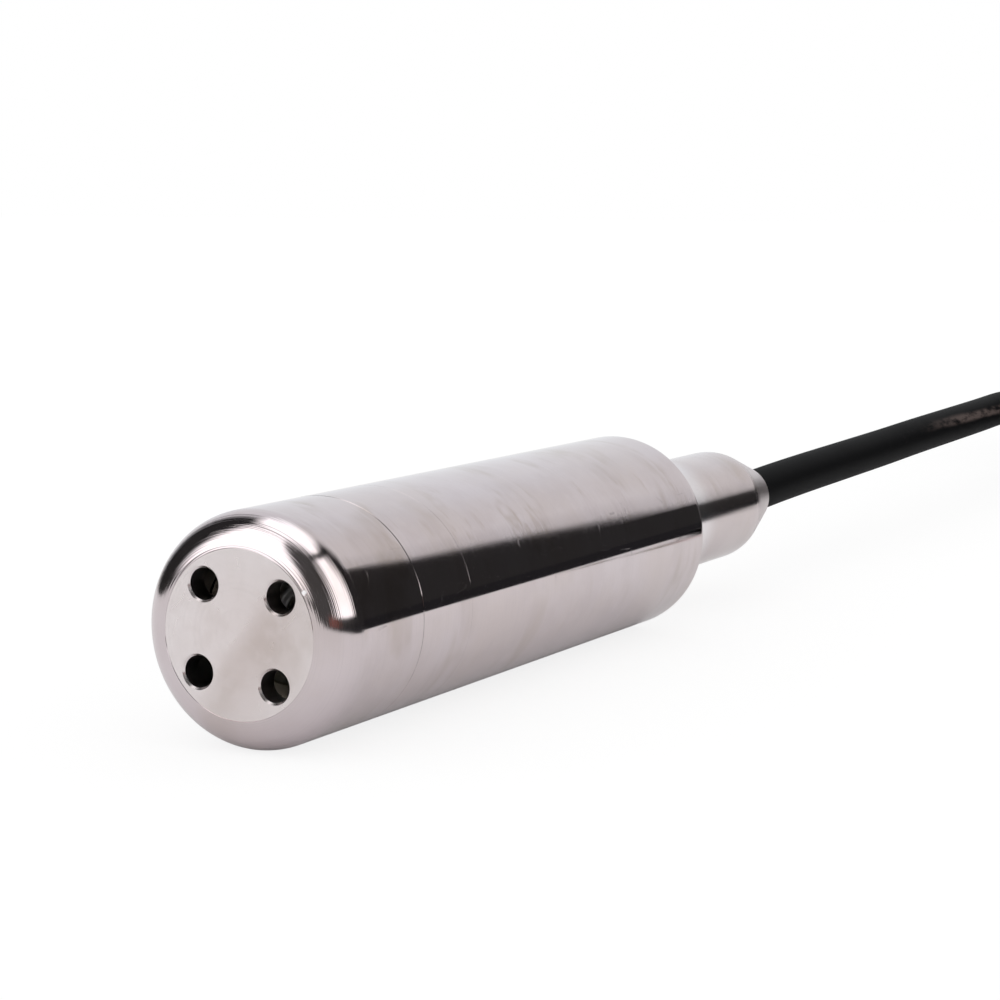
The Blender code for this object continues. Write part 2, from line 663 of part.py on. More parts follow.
def board_x(station):
    """Middle of one of the equal lengths that the board's parts are set out on."""
    return BOARD_FRONT + (station + 0.5) * BOARD_PITCH


def chip(name, station):
    """Integrated circuit with a row of bent legs on each side."""
    half = CHIP_LENGTH / 2
    side = CHIP_WIDTH / 2
    low = (-half, -side, LEG_THICKNESS)
    body = place(name, block(name, low, (half, side, CHIP_HEIGHT)), CHIP_BLACK)
    body.location = (board_x(station), 0.0, BOARD_TOP)
    shoulder = CHIP_HEIGHT / 2
    leg = [
        (-side - LEG_REACH, 0.0),
        (-side - LEG_REACH / 3, 0.0),
        (-side - LEG_REACH / 3, shoulder - LEG_THICKNESS),
        (side + LEG_REACH / 3, shoulder - LEG_THICKNESS),
        (side + LEG_REACH / 3, 0.0),
        (side + LEG_REACH, 0.0),
        (side + LEG_REACH, LEG_THICKNESS),
        (side + LEG_REACH / 2, LEG_THICKNESS),
        (side + LEG_REACH / 2, shoulder),
        (-side - LEG_REACH / 2, shoulder),
        (-side - LEG_REACH / 2, LEG_THICKNESS),
        (-side - LEG_REACH, LEG_THICKNESS),
    ]
    for number in range(LEG_COUNT):
        middle = (number + 0.5) * CHIP_LENGTH / LEG_COUNT - half
        pair = f"{name}_legs_{number + 1}"
        mesh = prism(pair, leg, -LEG_WIDTH / 2, LEG_WIDTH / 2)
        spot = (board_x(station) + middle, 0.0, BOARD_TOP)
        boolean(body, helper(pair, mesh, spot, (0.0, 0.0, math.pi / 2)), "UNION")


def capacitor(name, station):
    """Moulded capacitor under the board."""
    length, width, height = CAPACITOR_SIZE
    outline = rounded_outline(length / 2, height / 2, height / 8, 2)
    mesh = prism(name, outline, -width / 2, width / 2)
    place(name, mesh, CAPACITOR_YELLOW, (board_x(station), 0.0, -BOARD_TOP - height / 2))


def surge_arrester(station):
    """Ceramic arrester with a metal cap at each end, lying across the board's underside."""
    cap_end = ARRESTER_CAP_LENGTH
    waist = ARRESTER_RADIUS - ARRESTER_STEP
    profile = [
        (0.0, 0.0),
        (0.0, ARRESTER_RADIUS),
        (cap_end, ARRESTER_RADIUS),
        (cap_end, waist),
        (ARRESTER_LENGTH - cap_end, waist),
        (ARRESTER_LENGTH - cap_end, ARRESTER_RADIUS),
        (ARRESTER_LENGTH, ARRESTER_RADIUS),
        (ARRESTER_LENGTH, 0.0),
    ]
    spot = (board_x(station), -ARRESTER_LENGTH / 2, -BOARD_TOP - ARRESTER_RADIUS)
    mesh = turned("surge_arrester", profile, SMALL_SEGMENTS)
    place("surge_arrester", mesh, CERAMIC, spot, (0.0, 0.0, math.pi / 2))


def link_wires():
    """Thin wires from the sensor board to the front of the main board."""
    finishes = (WIRE_RED, WIRE_BLACK, WIRE_YELLOW, WIRE_WHITE)
    start_x = SENSOR_BOARD_END + SEAM_GAP
    level = SEAT_REAR_BORE / 2 + VENT_RADIUS
    end_x = board_x(0)
    landing = BOARD_TOP + LINK_WIRE_RADIUS
    for number, finish in enumerate(finishes):
        y = (number - (len(finishes) - 1) / 2) * LINK_WIRE_PITCH
        route = [
            (start_x, y, level),
            (start_x + (BOARD_FRONT - start_x) / 3, y, level),
            (BOARD_FRONT, y, (level + landing) / 2),
            (end_x - BOARD_PITCH / 5, y, landing + LINK_WIRE_RADIUS),
            (end_x, y, landing),
        ]
        wire(f"link_wire_{number + 1}", route, LINK_WIRE_RADIUS, finish, INNER_WIRE_SPACING)


def supply_wires():
    """The cable's two conductors, from its cut end to the rear of the main board."""
    start_x = CABLE_TAIL_X - SEAM_GAP
    landing = BOARD_TOP + SUPPLY_WIRE_RADIUS
    end_x = board_x(BOARD_STATIONS - 1)
    for name, side, finish in (("supply_wire", 1, WIRE_RED), ("return_wire", -1, WIRE_BLACK)):
        y = side * SUPPLY_WIRE_SPREAD
        inner = side * CABLE_RADIUS / 2
        route = [
            (start_x, inner, SUPPLY_WIRE_RADIUS),
            (start_x - WIRE_ROOM / 3, inner, landing),
            (BOARD_REAR, y, landing + 2 * SUPPLY_WIRE_RADIUS),
            (end_x + BOARD_PITCH / 5, y, landing + SUPPLY_WIRE_RADIUS),
            (end_x, y, landing),
        ]
        wire(name, route, SUPPLY_WIRE_RADIUS, finish, INNER_WIRE_SPACING)


def vent_capillary():
    """Open end of the cable's air tube, lying along the board's underside."""
    end = CABLE_TAIL_X - SEAM_GAP
    start = board_x(BOARD_STATIONS - 1)
    mesh = turned_sleeve("vent_capillary", end - start, VENT_RADIUS - VENT_WALL, VENT_RADIUS)
    place("vent_capillary", mesh, CLEAR_TUBE, (start, 0.0, -BOARD_TOP - VENT_RADIUS))


def neck_taper():
    """Outline of the neck from its parallel part to its end face, with the shoulder blended round."""
    slope = math.atan2(NECK_RADIUS - NECK_END_RADIUS, NECK_TAPER_LENGTH)
    tangent = NECK_BLEND * math.tan(slope / 2)
    end = NECK_LENGTH + NECK_TAPER_LENGTH
    points = arc(
        NECK_LENGTH - tangent, NECK_RADIUS - NECK_BLEND, NECK_BLEND,
        90, 90 - math.degrees(slope), 4,
    )
    edge = NECK_EDGE
    points.append((end - edge * math.cos(slope), NECK_END_RADIUS + edge * math.sin(slope)))
    points.append((end, NECK_END_RADIUS - edge))
    return points


def gland_body():
    """Plug in the tube's end and the tapered neck behind it, bored for the cable and its seal."""
    end = NECK_LENGTH + NECK_TAPER_LENGTH
    seat = end - CABLE_GUIDE_LENGTH
    cone = GLAND_BORE - CABLE_BORE
    profile = [
        (-PLUG_LENGTH, GLAND_BORE + MOUTH_CHAMFER),
        (-PLUG_LENGTH, TUBE_FIT_RADIUS - PLUG_CHAMFER),
        (-PLUG_LENGTH + PLUG_CHAMFER, TUBE_FIT_RADIUS),
    ]
    profile += tube_seal_groove(-SEAL_SETBACK)
    profile.append((0.0, TUBE_FIT_RADIUS))
    profile += arc(NECK_FILLET, NECK_RADIUS + NECK_FILLET, NECK_FILLET, 180, 270, 4)
    profile += neck_taper()
    profile += [
        (end, CABLE_BORE + NECK_EDGE),
        (end - NECK_EDGE, CABLE_BORE),
        (seat, CABLE_BORE),
        (seat - cone, GLAND_BORE),
        (-PLUG_LENGTH + MOUTH_CHAMFER, GLAND_BORE),
    ]
    place("gland_body", turned("gland_body", profile, BODY_SEGMENTS), STEEL, (BODY_END, 0.0, 0.0))


def cable_grommet():
    """Rubber seal squeezed between the washer and the neck's inner cone."""
    rear_cone = GLAND_FIT_RADIUS - CABLE_BORE - FIT_GAP
    profile = [
        (0.0, CABLE_BORE),
        (0.0, GLAND_FIT_RADIUS - GROMMET_CHAMFER),
        (GROMMET_CHAMFER, GLAND_FIT_RADIUS),
        (GROMMET_LENGTH - rear_cone, GLAND_FIT_RADIUS),
        (GROMMET_LENGTH, GLAND_FIT_RADIUS - rear_cone),
        (GROMMET_LENGTH, CABLE_BORE),
    ]
    mesh = turned("cable_grommet", profile, INNER_SEGMENTS)
    place("cable_grommet", mesh, RUBBER, (GROMMET_X, 0.0, 0.0))


def gland_washer():
    mesh = turned_sleeve(
        "gland_washer", WASHER_THICKNESS, CABLE_BORE, GLAND_FIT_RADIUS, INNER_SEGMENTS
    )
    place("gland_washer", mesh, STEEL_SATIN, (WASHER_X, 0.0, 0.0))


def gland_screw():
    """Hollow screw that presses the washer on the seal, with a hexagon head inside the tube."""
    length = SCREW_END - SCREW_HEAD_X
    mesh = turned_rod("gland_screw", length, GLAND_FIT_RADIUS, INNER_SEGMENTS)
    screw = place("gland_screw", mesh, BRASS, (SCREW_HEAD_X, 0.0, 0.0))
    corner = SCREW_HEAD_FLATS / math.sqrt(3)
    hexagon = turned_rod("gland_screw_head", SCREW_HEAD_LENGTH, corner, 6)
    boolean(screw, helper("gland_screw_head", hexagon, (SCREW_HEAD_X, 0.0, 0.0)), "UNION")
    drill = turned_rod("gland_screw_drill", length + 2 * CUT_EXTRA, CABLE_BORE, INNER_SEGMENTS)
    start = (SCREW_HEAD_X - CUT_EXTRA, 0.0, 0.0)
    boolean(screw, helper("gland_screw_drill", drill, start), "DIFFERENCE")


def cable_crimp_ring():
    """Ring crimped on the cable, which takes its pull on the screw's head."""
    mesh = turned_sleeve(
        "cable_crimp_ring", CRIMP_LENGTH, CABLE_BORE, CABLE_BORE + CRIMP_WALL, INNER_SEGMENTS
    )
    x = SCREW_HEAD_X - FIT_GAP - CRIMP_LENGTH
    place("cable_crimp_ring", mesh, STEEL_SATIN, (x, 0.0, 0.0))


def cable_inner_end():
    """The cable's held end, from its cut face inside the tube to the mouth of the gland."""
    length = GLAND_END - CABLE_TAIL_X
    mesh = turned_rod("cable_inner_end", length, CABLE_RADIUS, INNER_SEGMENTS)
    place("cable_inner_end", mesh, CABLE_BLACK, (CABLE_TAIL_X, 0.0, 0.0))


def hank(name):
    """Closed solid of the wound cable: its section swept round two half circles and the runs between."""
    middle = (HANK_OUTER + HANK_INNER) / 2
    half_width = (HANK_OUTER - HANK_INNER) / 2
    section = rounded_outline(half_width, HANK_HEIGHT / 2, HANK_EDGE, 2)
    shape = bmesh.new()
    loops = []
    for centre_x, start in ((HANK_STRAIGHT, 90.0), (0.0, 270.0)):
        for step in range(HANK_END_STEPS + 1):
            turn = math.radians(start - 180.0 * step / HANK_END_STEPS)
            across, along = math.cos(turn), math.sin(turn)
            loop = []
            for offset, level in section:
                reach = middle + offset
                loop.append(shape.verts.new((centre_x + reach * across, reach * along, level)))
            loops.append(loop)
    for first, second in zip(loops, loops[1:] + loops[:1]):
        for k in range(len(section)):
            n = (k + 1) % len(section)
            shape.faces.new((first[k], first[n], second[n], second[k]))
    return to_mesh(name, shape)


def free_cable():
    """Plain solids of the free cable: the lead from the gland, the hank and its tail."""
    lead = [(x, 0.0, z) for x, z in CABLE_LEAD_ROUTE]
    wire("cable_lead", lead, CABLE_RADIUS, CABLE_BLACK, LEAD_SPACING, 2)
    tail = [(x, TAIL_Y, z) for x, z in CABLE_TAIL_ROUTE]
    wire("cable_tail", tail, CABLE_RADIUS, CABLE_BLACK, LEAD_SPACING, 2)
    place("cable_hank", hank("cable_hank"), CABLE_BLACK, (HANK_NEAR_X, HANK_CENTRE_Y, HANK_LEVEL))


def band(name, half_width, half_height, corner, thickness, width):
    """A closed band: the wall between two rounded rectangles, extruded along Y."""
    inner = rounded_outline(half_width, half_height, corner)
    outer = rounded_outline(half_width + thickness, half_height + thickness, corner + thickness)
    shape = bmesh.new()
    rings = []
    for outline in (inner, outer):
        for y in (-width / 2, width / 2):
            rings.append([shape.verts.new((x, y, z)) for x, z in outline])
    inner_low, inner_high, outer_low, outer_high = rings
    around = [(inner_low, inner_high), (inner_high, outer_high)]
    around += [(outer_high, outer_low), (outer_low, inner_low)]
    count = len(inner)
    for first, second in around:
        for k in range(count):
            n = (k + 1) % count
            shape.faces.new((first[k], first[n], second[n], second[k]))
    return to_mesh(name, shape)


def hank_ties():
    """Two nylon ties, one round each run of the hank, with their ratchet heads on top."""
    middle = (HANK_OUTER + HANK_INNER) / 2
    half_width = (HANK_OUTER - HANK_INNER) / 2 + FIT_GAP
    half_height = HANK_HEIGHT / 2 + FIT_GAP
    corner = HANK_EDGE + FIT_GAP
    across = (0.0, 0.0, math.pi / 2)
    head_length, head_width, head_height = TIE_HEAD
    for name, side in (("hank_tie_left", 1), ("hank_tie_right", -1)):
        mesh = band(name, half_width, half_height, corner, TIE_THICKNESS, TIE_WIDTH)
        centre = (HANK_NEAR_X + HANK_STRAIGHT / 2, HANK_CENTRE_Y + side * middle, HANK_LEVEL)
        tie = place(name, mesh, NYLON, centre, across)
        low = (-head_length / 2, -head_width / 2, half_height + FIT_GAP)
        high = (head_length / 2, head_width / 2, half_height + head_height)
        head = helper(f"{name}_head", block(f"{name}_head", low, high), centre, across)
        boolean(tie, head, "UNION")


def cable_end():
    """Stripped end: a shrink sleeve, two wires with ferrules, the shield's drain and the air tube."""
    start_x = CABLE_TAIL_ROUTE[-1][0]
    sleeve_radius = CABLE_BORE + SLEEVE_WALL
    level = FLOOR + sleeve_radius
    sleeve_x = start_x - SLEEVE_LENGTH / 4
    mesh = turned_sleeve("end_sleeve", SLEEVE_LENGTH, CABLE_BORE, sleeve_radius, INNER_SEGMENTS)
    place("end_sleeve", mesh, RUBBER, (sleeve_x, TAIL_Y, level))
    for name, finish, radius, length, (side, lift), spread in END_WIRES:
        begin = start_x - SEAM_GAP
        rest = FLOOR + radius
        end = (begin - length, TAIL_Y + spread, rest)
        route = [
            (begin, TAIL_Y + side, level + lift),
            (begin - length / 5, TAIL_Y + side, level + lift),
            (begin - length / 2, TAIL_Y + (side + spread) / 2, (level + lift + rest) / 2),
            (begin - length * 0.8, TAIL_Y + spread, rest),
            end,
        ]
        wire(name, route, radius, finish, END_WIRE_SPACING)
        if name.startswith("end_wire"):
            ferrule(name.replace("wire", "ferrule"), end)


def ferrule(name, wire_end):
    """Crimped ferrule: a plastic collar and its metal pin, as one turned piece along -X."""
    x, y, _ = wire_end
    total = FERRULE_LENGTH + FERRULE_PIN_LENGTH
    profile = [
        (0.0, 0.0),
        (0.0, FERRULE_PIN_RADIUS),
        (FERRULE_PIN_LENGTH, FERRULE_PIN_RADIUS),
        (FERRULE_PIN_LENGTH + FERRULE_LENGTH / 3, FERRULE_RADIUS),
        (total, FERRULE_RADIUS),
        (total, 0.0),
    ]
    mesh = turned(name, profile, SMALL_SEGMENTS)
    place(name, mesh, TINNED, (x - FIT_GAP - total, y, FLOOR + FERRULE_RADIUS))


def build():
    clear_scene()
    nose_cap()
    cap_lock_ring()
    sensor_seat()
    housing_tube()
    tube_seals()
    sensor_body()
    sensor_diaphragm()
    sensor_o_ring()
    sensor_lock_ring()
    header_pins()
    sensor_vent_tube()
    sensor_board()
    board_rings()
    main_board()
    chip("amplifier_chip", 1)
    chip("converter_chip", 2)
    capacitor("front_capacitor", 0)
    surge_arrester(1)
    capacitor("rear_capacitor", 2)
    link_wires()
    supply_wires()
    vent_capillary()
    gland_body()
    cable_grommet()
    gland_washer()
    gland_screw()
    cable_crimp_ring()
    cable_inner_end()
    free_cable()
    hank_ties()
    cable_end()


build()
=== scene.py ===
import json
import math

import bmesh
import bpy
from mathutils import Matrix, Vector


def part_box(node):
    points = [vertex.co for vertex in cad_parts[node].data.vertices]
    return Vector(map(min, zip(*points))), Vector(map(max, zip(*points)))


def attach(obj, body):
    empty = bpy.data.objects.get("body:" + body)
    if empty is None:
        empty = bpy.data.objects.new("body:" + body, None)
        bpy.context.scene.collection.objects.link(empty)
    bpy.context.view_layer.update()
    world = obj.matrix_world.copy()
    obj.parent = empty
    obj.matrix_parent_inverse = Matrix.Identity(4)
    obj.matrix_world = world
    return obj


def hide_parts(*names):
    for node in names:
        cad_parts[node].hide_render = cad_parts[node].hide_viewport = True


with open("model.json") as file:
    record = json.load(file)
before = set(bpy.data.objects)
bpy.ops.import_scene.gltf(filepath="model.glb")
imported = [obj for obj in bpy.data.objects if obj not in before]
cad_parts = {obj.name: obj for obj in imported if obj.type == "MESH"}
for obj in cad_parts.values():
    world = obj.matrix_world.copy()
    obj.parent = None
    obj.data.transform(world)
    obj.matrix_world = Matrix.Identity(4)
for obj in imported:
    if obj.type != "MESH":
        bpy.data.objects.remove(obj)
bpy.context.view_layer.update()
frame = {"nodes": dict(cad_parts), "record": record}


# The photograph's camera, in the part's own frame
view = {
    "place": (-0.24826, -0.16127, 0.05076),
    "forward": (0.8826, 0.4548, -0.1191),
    "focal": 94.93,
    "sensor": 36.0,
    "clip": (0.01, 50),
}

# Stations along the axis, radii and levels that several pieces share, as in the solids
probe = {
    "body": 0.0140,
    "seam1": 0.0183,
    "seam2": 0.0303,
    "bodyEnd": 0.1020,
    "glandEnd": 0.1514,
    "floor": -0.0140,
}


def makeCamera():
    forward = Vector(view["forward"]).normalized()
    right = forward.cross(Vector((0, 0, 1))).normalized()
    up = right.cross(forward)
    data = bpy.data.cameras.new("camera")
    data.lens = view["focal"]
    data.sensor_width = view["sensor"]
    data.clip_start, data.clip_end = view["clip"]
    camera = bpy.data.objects.new("camera", data)
    turn = Matrix((right, up, -forward)).transposed().to_4x4()
    camera.matrix_world = Matrix.Translation(view["place"]) @ turn
    bpy.context.scene.collection.objects.link(camera)
    bpy.context.scene.camera = camera
    bpy.context.scene.view_settings.view_transform = "Standard"


# One node socket with Python's arithmetic: each operator adds its Math node
class Signal:
    def __init__(self, owner, socket):
        self.owner = owner
        self.socket = socket

    def math(self, operation, *others):
        return self.owner.math(operation, self, *others)

    def __add__(self, other):
        return self.math("ADD", other)

    __radd__ = __add__

    def __sub__(self, other):
        return self.math("SUBTRACT", other)

    def __rsub__(self, other):
        return self.owner.math("SUBTRACT", other, self)

    def __mul__(self, other):
        return self.math("MULTIPLY", other)

    __rmul__ = __mul__

    def __truediv__(self, other):
        return self.math("DIVIDE", other)

    def __abs__(self):
        return self.math("ABSOLUTE")


# A node tree that is being filled
class Tree:
    def add(self, kind, settings=None, sockets=None, out=0):
        made = self.tree.nodes.new(kind)
        for key, value in (settings or {}).items():
            setattr(made, key, value)
        for key, value in (sockets or {}).items():
            socket = made.inputs[key]
            if isinstance(value, Signal):
                self.tree.links.new(value.socket, socket)
            else:
                socket.default_value = (*value, 1.0) if socket.type == "RGBA" else value
        return Signal(self, made.outputs[out]) if made.outputs else None

    def math(self, operation, *values):
        return self.add("ShaderNodeMath", {"operation": operation}, dict(enumerate(values)))

    def split(self, vector):
        first = self.add("ShaderNodeSeparateXYZ", {}, {0: vector})
        return [Signal(self, socket) for socket in first.socket.node.outputs]


class Look(Tree):
    def __init__(self, tree):
        self.tree = tree
        tree.nodes.clear()

    def node(self, kind, settings=None, sockets=None, out=0):
        return self.add("ShaderNode" + kind, settings, sockets, out)

    def mix(self, share, first, second):
        return self.node("Mix", {"data_type": "RGBA"}, {0: share, 6: first, 7: second}, 2)

    def step(self, value, low, high):
        # 0 below low and 1 above high, smooth between them
        sockets = {"Value": value, "From Min": low, "From Max": high}
        return self.node("MapRange", {"interpolation_type": "SMOOTHSTEP"}, sockets)

    def span(self, value, low, lowIn, highIn, high):
        # 1 between the inner bounds and 0 outside the outer ones
        return self.step(value, low, lowIn) * (1 - self.step(value, highIn, high))

    def ramp(self, value, low, high, start, end):
        sockets = {"Value": value, "From Min": low, "From Max": high, "To Min": start, "To Max": end}
        return self.node("MapRange", {}, sockets)

    def place(self, stretch=(1, 1, 1), turn=(0, 0, 0)):
        coords = self.node("TexCoord", out="Object")
        return self.node("Mapping", {}, {"Vector": coords, "Rotation": turn, "Scale": stretch})

    def noise(self, scale, detail=2.0, rough=0.5, stretch=(1, 1, 1), turn=(0, 0, 0)):
        vector = self.place(stretch, turn)
        sockets = {"Vector": vector, "Scale": scale, "Detail": detail, "Roughness": rough}
        return self.node("TexNoise", {}, sockets)

    def bump(self, height, distance):
        return self.node("Bump", {}, {"Height": height, "Distance": distance})


def startMaterial(name):
    material = bpy.data.materials.new(name)
    material.use_nodes = True
    return material, Look(material.node_tree)


def finishMaterial(look, sockets):
    shader = look.node("BsdfPrincipled", {}, sockets)
    look.node("OutputMaterial", {}, {"Surface": shader})


# What metal mirrors: directions in degrees, levels and tints; then the floor and the table's edge
studio = {
    "ambient": 1.0,
    "dark": 0.029,
    "boxStrength": 1.9,
    "leftBox": (124, 178, 4, 60),
    "leftSoft": (7.0, 2.0),
    "sideBox": (-122, -67, 8, 57),
    "sideSoft": (2.0, 1.2),
    "topRise": 61,
    "topSoft": (12, 3),
    "topNear": (-135, -125, 40, 70),
    "backLevels": (0.60, 0.80, 0.90),
    "backBlends": ((-23, -16), (-5, 15)),
    "backLeft": (-20.0, -22.4, -30.0),
    "backSteps": ((7.5, 9.5), (25, 31)),
    "backSoft": 0.4,
    "backRight": (58, 66),
    "footRise": (6.5, 11),
    "footLevel": 0.12,
    "footEnd": (-4, 2),
    "behind": 0.06,
    "behindFrom": (125, 140),
    "coolSpan": (-10, 12, 60, 80),
    "coolTint": (0.95, 0.975, 1.0),
    "warmBox": (-146, -121, -3, 7),
    "warmSoft": (2.0, 2.0),
    "warmLevel": 0.20,
    "warmTint": (1.0, 0.42, 0.34),
    "floorAlbedo": 0.90,
    "floorGlow": 1.04,
    "glowShare": 0.80,
    "mirrorShare": 0.06,
    "floorReach": 4.0,
    "cardBlack": (0.020, 0.020, 0.022),
    "tableLift": 0.0002,
    "tableEdge": [
        (4.0, -0.100), (0.33, -0.099), (0.285, -0.092), (0.20, -0.092), (0.15, -0.099), (0.12, -0.101),
        (-0.04, -0.30), (-0.30, -0.34), (-0.60, -0.02), (-4.0, -0.02), (-4.0, -4.0), (4.0, -4.0),
    ],
}


def inBox(look, around, above, box, soft):
    left, right, low, high = box
    side, level = soft
    sides = look.span(around, left - side, left + side, right - side, right + side)
    return sides * look.span(above, low - level, low + level, high - level, high + level)


def mirroredStudio(look):
    # Two soft boxes, a ceiling sheet, a grey backdrop with a dark foot, and dark walls
    x, y, z = look.split(look.node("TexCoord", out="Generated"))
    around = y.math("ARCTAN2", x) * (180 / math.pi)
    above = z.math("ARCSINE") * (180 / math.pi)
    boxes = inBox(look, around, above, studio["leftBox"], studio["leftSoft"])
    boxes = boxes.math("MAXIMUM", inBox(look, around, above, studio["sideBox"], studio["sideSoft"]))
    far, near = studio["topSoft"]
    soft = far - (far - near) * look.span(around, *studio["topNear"])
    ceiling = look.step((above - studio["topRise"]) / soft, 0.0, 1.0)
    boxes = boxes.math("MAXIMUM", ceiling) * studio["boxStrength"]
    low, middle, high = studio["backLeft"]
    first, second = studio["backSteps"]
    edge = look.ramp(above, *first, low, middle) + look.ramp(above, *second, 0.0, high - middle)
    back = look.step(around - edge, -studio["backSoft"], studio["backSoft"])
    back = back * (1 - look.step(around, *studio["backRight"]))
    dim, even, bright = studio["backLevels"]
    first, second = studio["backBlends"]
    level = look.ramp(around, *first, dim, even) + look.ramp(around, *second, 0.0, bright - even)
    foot = look.ramp(above, *studio["footRise"], studio["footLevel"], 1.0)
    level = level * foot.math("MAXIMUM", look.step(around, *studio["footEnd"]))
    behind = look.step(abs(around), *studio["behindFrom"]) * studio["behind"]
    cool = look.span(around, *studio["coolSpan"])
    warm = inBox(look, around, above, studio["warmBox"], studio["warmSoft"])
    strength = boxes.math("MAXIMUM", back * level) + behind + studio["dark"] + warm * studio["warmLevel"]
    return strength, cool, warm


def makeWorld():
    # Even white light for matt surfaces, and the studio for mirrored rays
    world = bpy.data.worlds.new("studio")
    bpy.context.scene.world = world
    world.use_nodes = True
    world.cycles.sampling_method = "NONE"
    look = Look(world.node_tree)
    mirrored, cool, warm = mirroredStudio(look)
    glossy = look.node("LightPath", out="Is Glossy Ray")
    strength = glossy * mirrored + (1 - glossy) * studio["ambient"]
    tint = look.mix(glossy * cool, (1, 1, 1), studio["coolTint"])
    tint = look.mix(glossy * warm, tint, studio["warmTint"])
    shade = look.node("Background", {}, {"Color": tint, "Strength": strength})
    look.node("OutputWorld", {}, {"Surface": shade})


def card(name, corners, material):
    mesh = bpy.data.meshes.new(name)
    mesh.from_pydata(corners, [], [tuple(range(len(corners)))])
    mesh.materials.append(material)
    flat = bpy.data.objects.new(name, mesh)
    bpy.context.scene.collection.objects.link(flat)
    return flat


def floorLook():
    # White to the camera, yet the object's shadow still shows
    material, look = startMaterial("floor")
    material.cycles.emission_sampling = "NONE"
    seen = look.node("LightPath", out="Is Camera Ray") * studio["glowShare"]
    seen = seen + look.node("LightPath", out="Is Glossy Ray") * studio["mirrorShare"]
    albedo = studio["floorAlbedo"]
    paper = look.node("BsdfDiffuse", {}, {"Color": (albedo, albedo, albedo)})
    glow = look.node("Emission", {}, {"Color": (1, 1, 1), "Strength": studio["floorGlow"]})
    both = look.node("MixShader", {}, {0: seen, 1: paper, 2: glow})
    look.node("OutputMaterial", {}, {"Surface": both})
    return material


def blackLook():
    material, look = startMaterial("blackCard")
    material.cycles.emission_sampling = "NONE"
    cloth = look.node("Emission", {}, {"Color": studio["cardBlack"], "Strength": 1.0})
    look.node("OutputMaterial", {}, {"Surface": cloth})
    return material


def makeStage():
    level = probe["floor"]
    reach = studio["floorReach"]
    corners = [(x * reach, y * reach, level) for x, y in ((-1, -1), (1, -1), (1, 1), (-1, 1))]
    card("floorSheet", corners, floorLook())
    # The table ends on the camera's side: beyond it metal mirrors a dark floor
    outline = [(x, y, level + studio["tableLift"]) for x, y in reversed(studio["tableEdge"])]
    edge = card("tableEdge", outline, blackLook())
    for rays in ("camera", "diffuse", "shadow", "transmission"):
        setattr(edge, "visible_" + rays, False)


makeCamera()
makeWorld()
makeStage()
print("studio: camera, world, floor and cards")


# Shapes that several pieces use

def arc(x, r, radius, start, end, steps):
    angles = [math.radians(start + (end - start) * k / steps) for k in range(steps + 1)]
    return [(x + radius * math.cos(a), r + radius * math.sin(a)) for a in angles]


def rows(start, end, radius, pitch):
    # Close points along a straight run, for a thread to be cut in
    count = max(1, round(abs(end - start) / pitch))
    return [(start + (end - start) * k / count, radius) for k in range(count + 1)]


def meshOf(name, shape):
    mesh = bpy.data.meshes.new(name)
    shape.to_mesh(mesh)
    shape.free()
    return mesh


def weld(shape, reach):
    bmesh.ops.remove_doubles(shape, verts=shape.verts, dist=reach)
    bmesh.ops.recalc_face_normals(shape, faces=shape.faces)


def turned(name, profile, segments):
    # Turns (x, radius) points about X
    shape = bmesh.new()
    points = [shape.verts.new((x, 0.0, r)) for x, r in profile]
    pairs = list(zip(points, points[1:]))
    if profile[0][1] > 0:
        pairs.append((points[-1], points[0]))
    edges = [shape.edges.new(pair) for pair in pairs]
    bmesh.ops.spin(
        shape, geom=points + edges, cent=(0, 0, 0), axis=(1, 0, 0),
        angle=2 * math.pi, steps=segments, use_merge=True,
    )
    weld(shape, 1e-6)
    mesh = meshOf(name, shape)
    smooth(mesh, 25)
    return mesh


def smooth(mesh, crease):
    mesh.shade_smooth()
    mesh.set_sharp_from_angle(angle=math.radians(crease))


def newPiece(name, mesh, material=None):
    piece = bpy.data.objects.new(name, mesh)
    if material:
        mesh.materials.clear()
        mesh.materials.append(material)
    bpy.context.scene.collection.objects.link(piece)
    return piece


def turnedPiece(name, profile, segments, material, place=(0, 0, 0)):
    mesh = turned(name, profile, segments)
    mesh.transform(Matrix.Translation(place))
    return newPiece(name, mesh, material)


def settled(piece, crease):
    # The piece as its modifiers make it, as a plain mesh with its place in it
    graph = bpy.context.evaluated_depsgraph_get()
    mesh = bpy.data.meshes.new_from_object(piece.evaluated_get(graph), depsgraph=graph)
    mesh.transform(piece.matrix_world)
    piece.modifiers.clear()
    piece.data = mesh
    piece.matrix_world = Matrix.Identity(4)
    smooth(mesh, crease)
    return piece


def cutter(name, mesh, place):
    tool = newPiece(name, mesh)
    tool.location = place
    tool.hide_render = True
    return tool


def cut(piece, tools, crease):
    for tool in tools:
        step = piece.modifiers.new(tool.name, "BOOLEAN")
        step.operation = "DIFFERENCE"
        step.solver = "EXACT"
        step.object = tool
    bpy.context.view_layer.update()
    settled(piece, crease)
    for tool in tools:
        bpy.data.objects.remove(tool)


def stands(piece, body, slot, *nodes):
    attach(piece, body)
    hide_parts(*nodes)


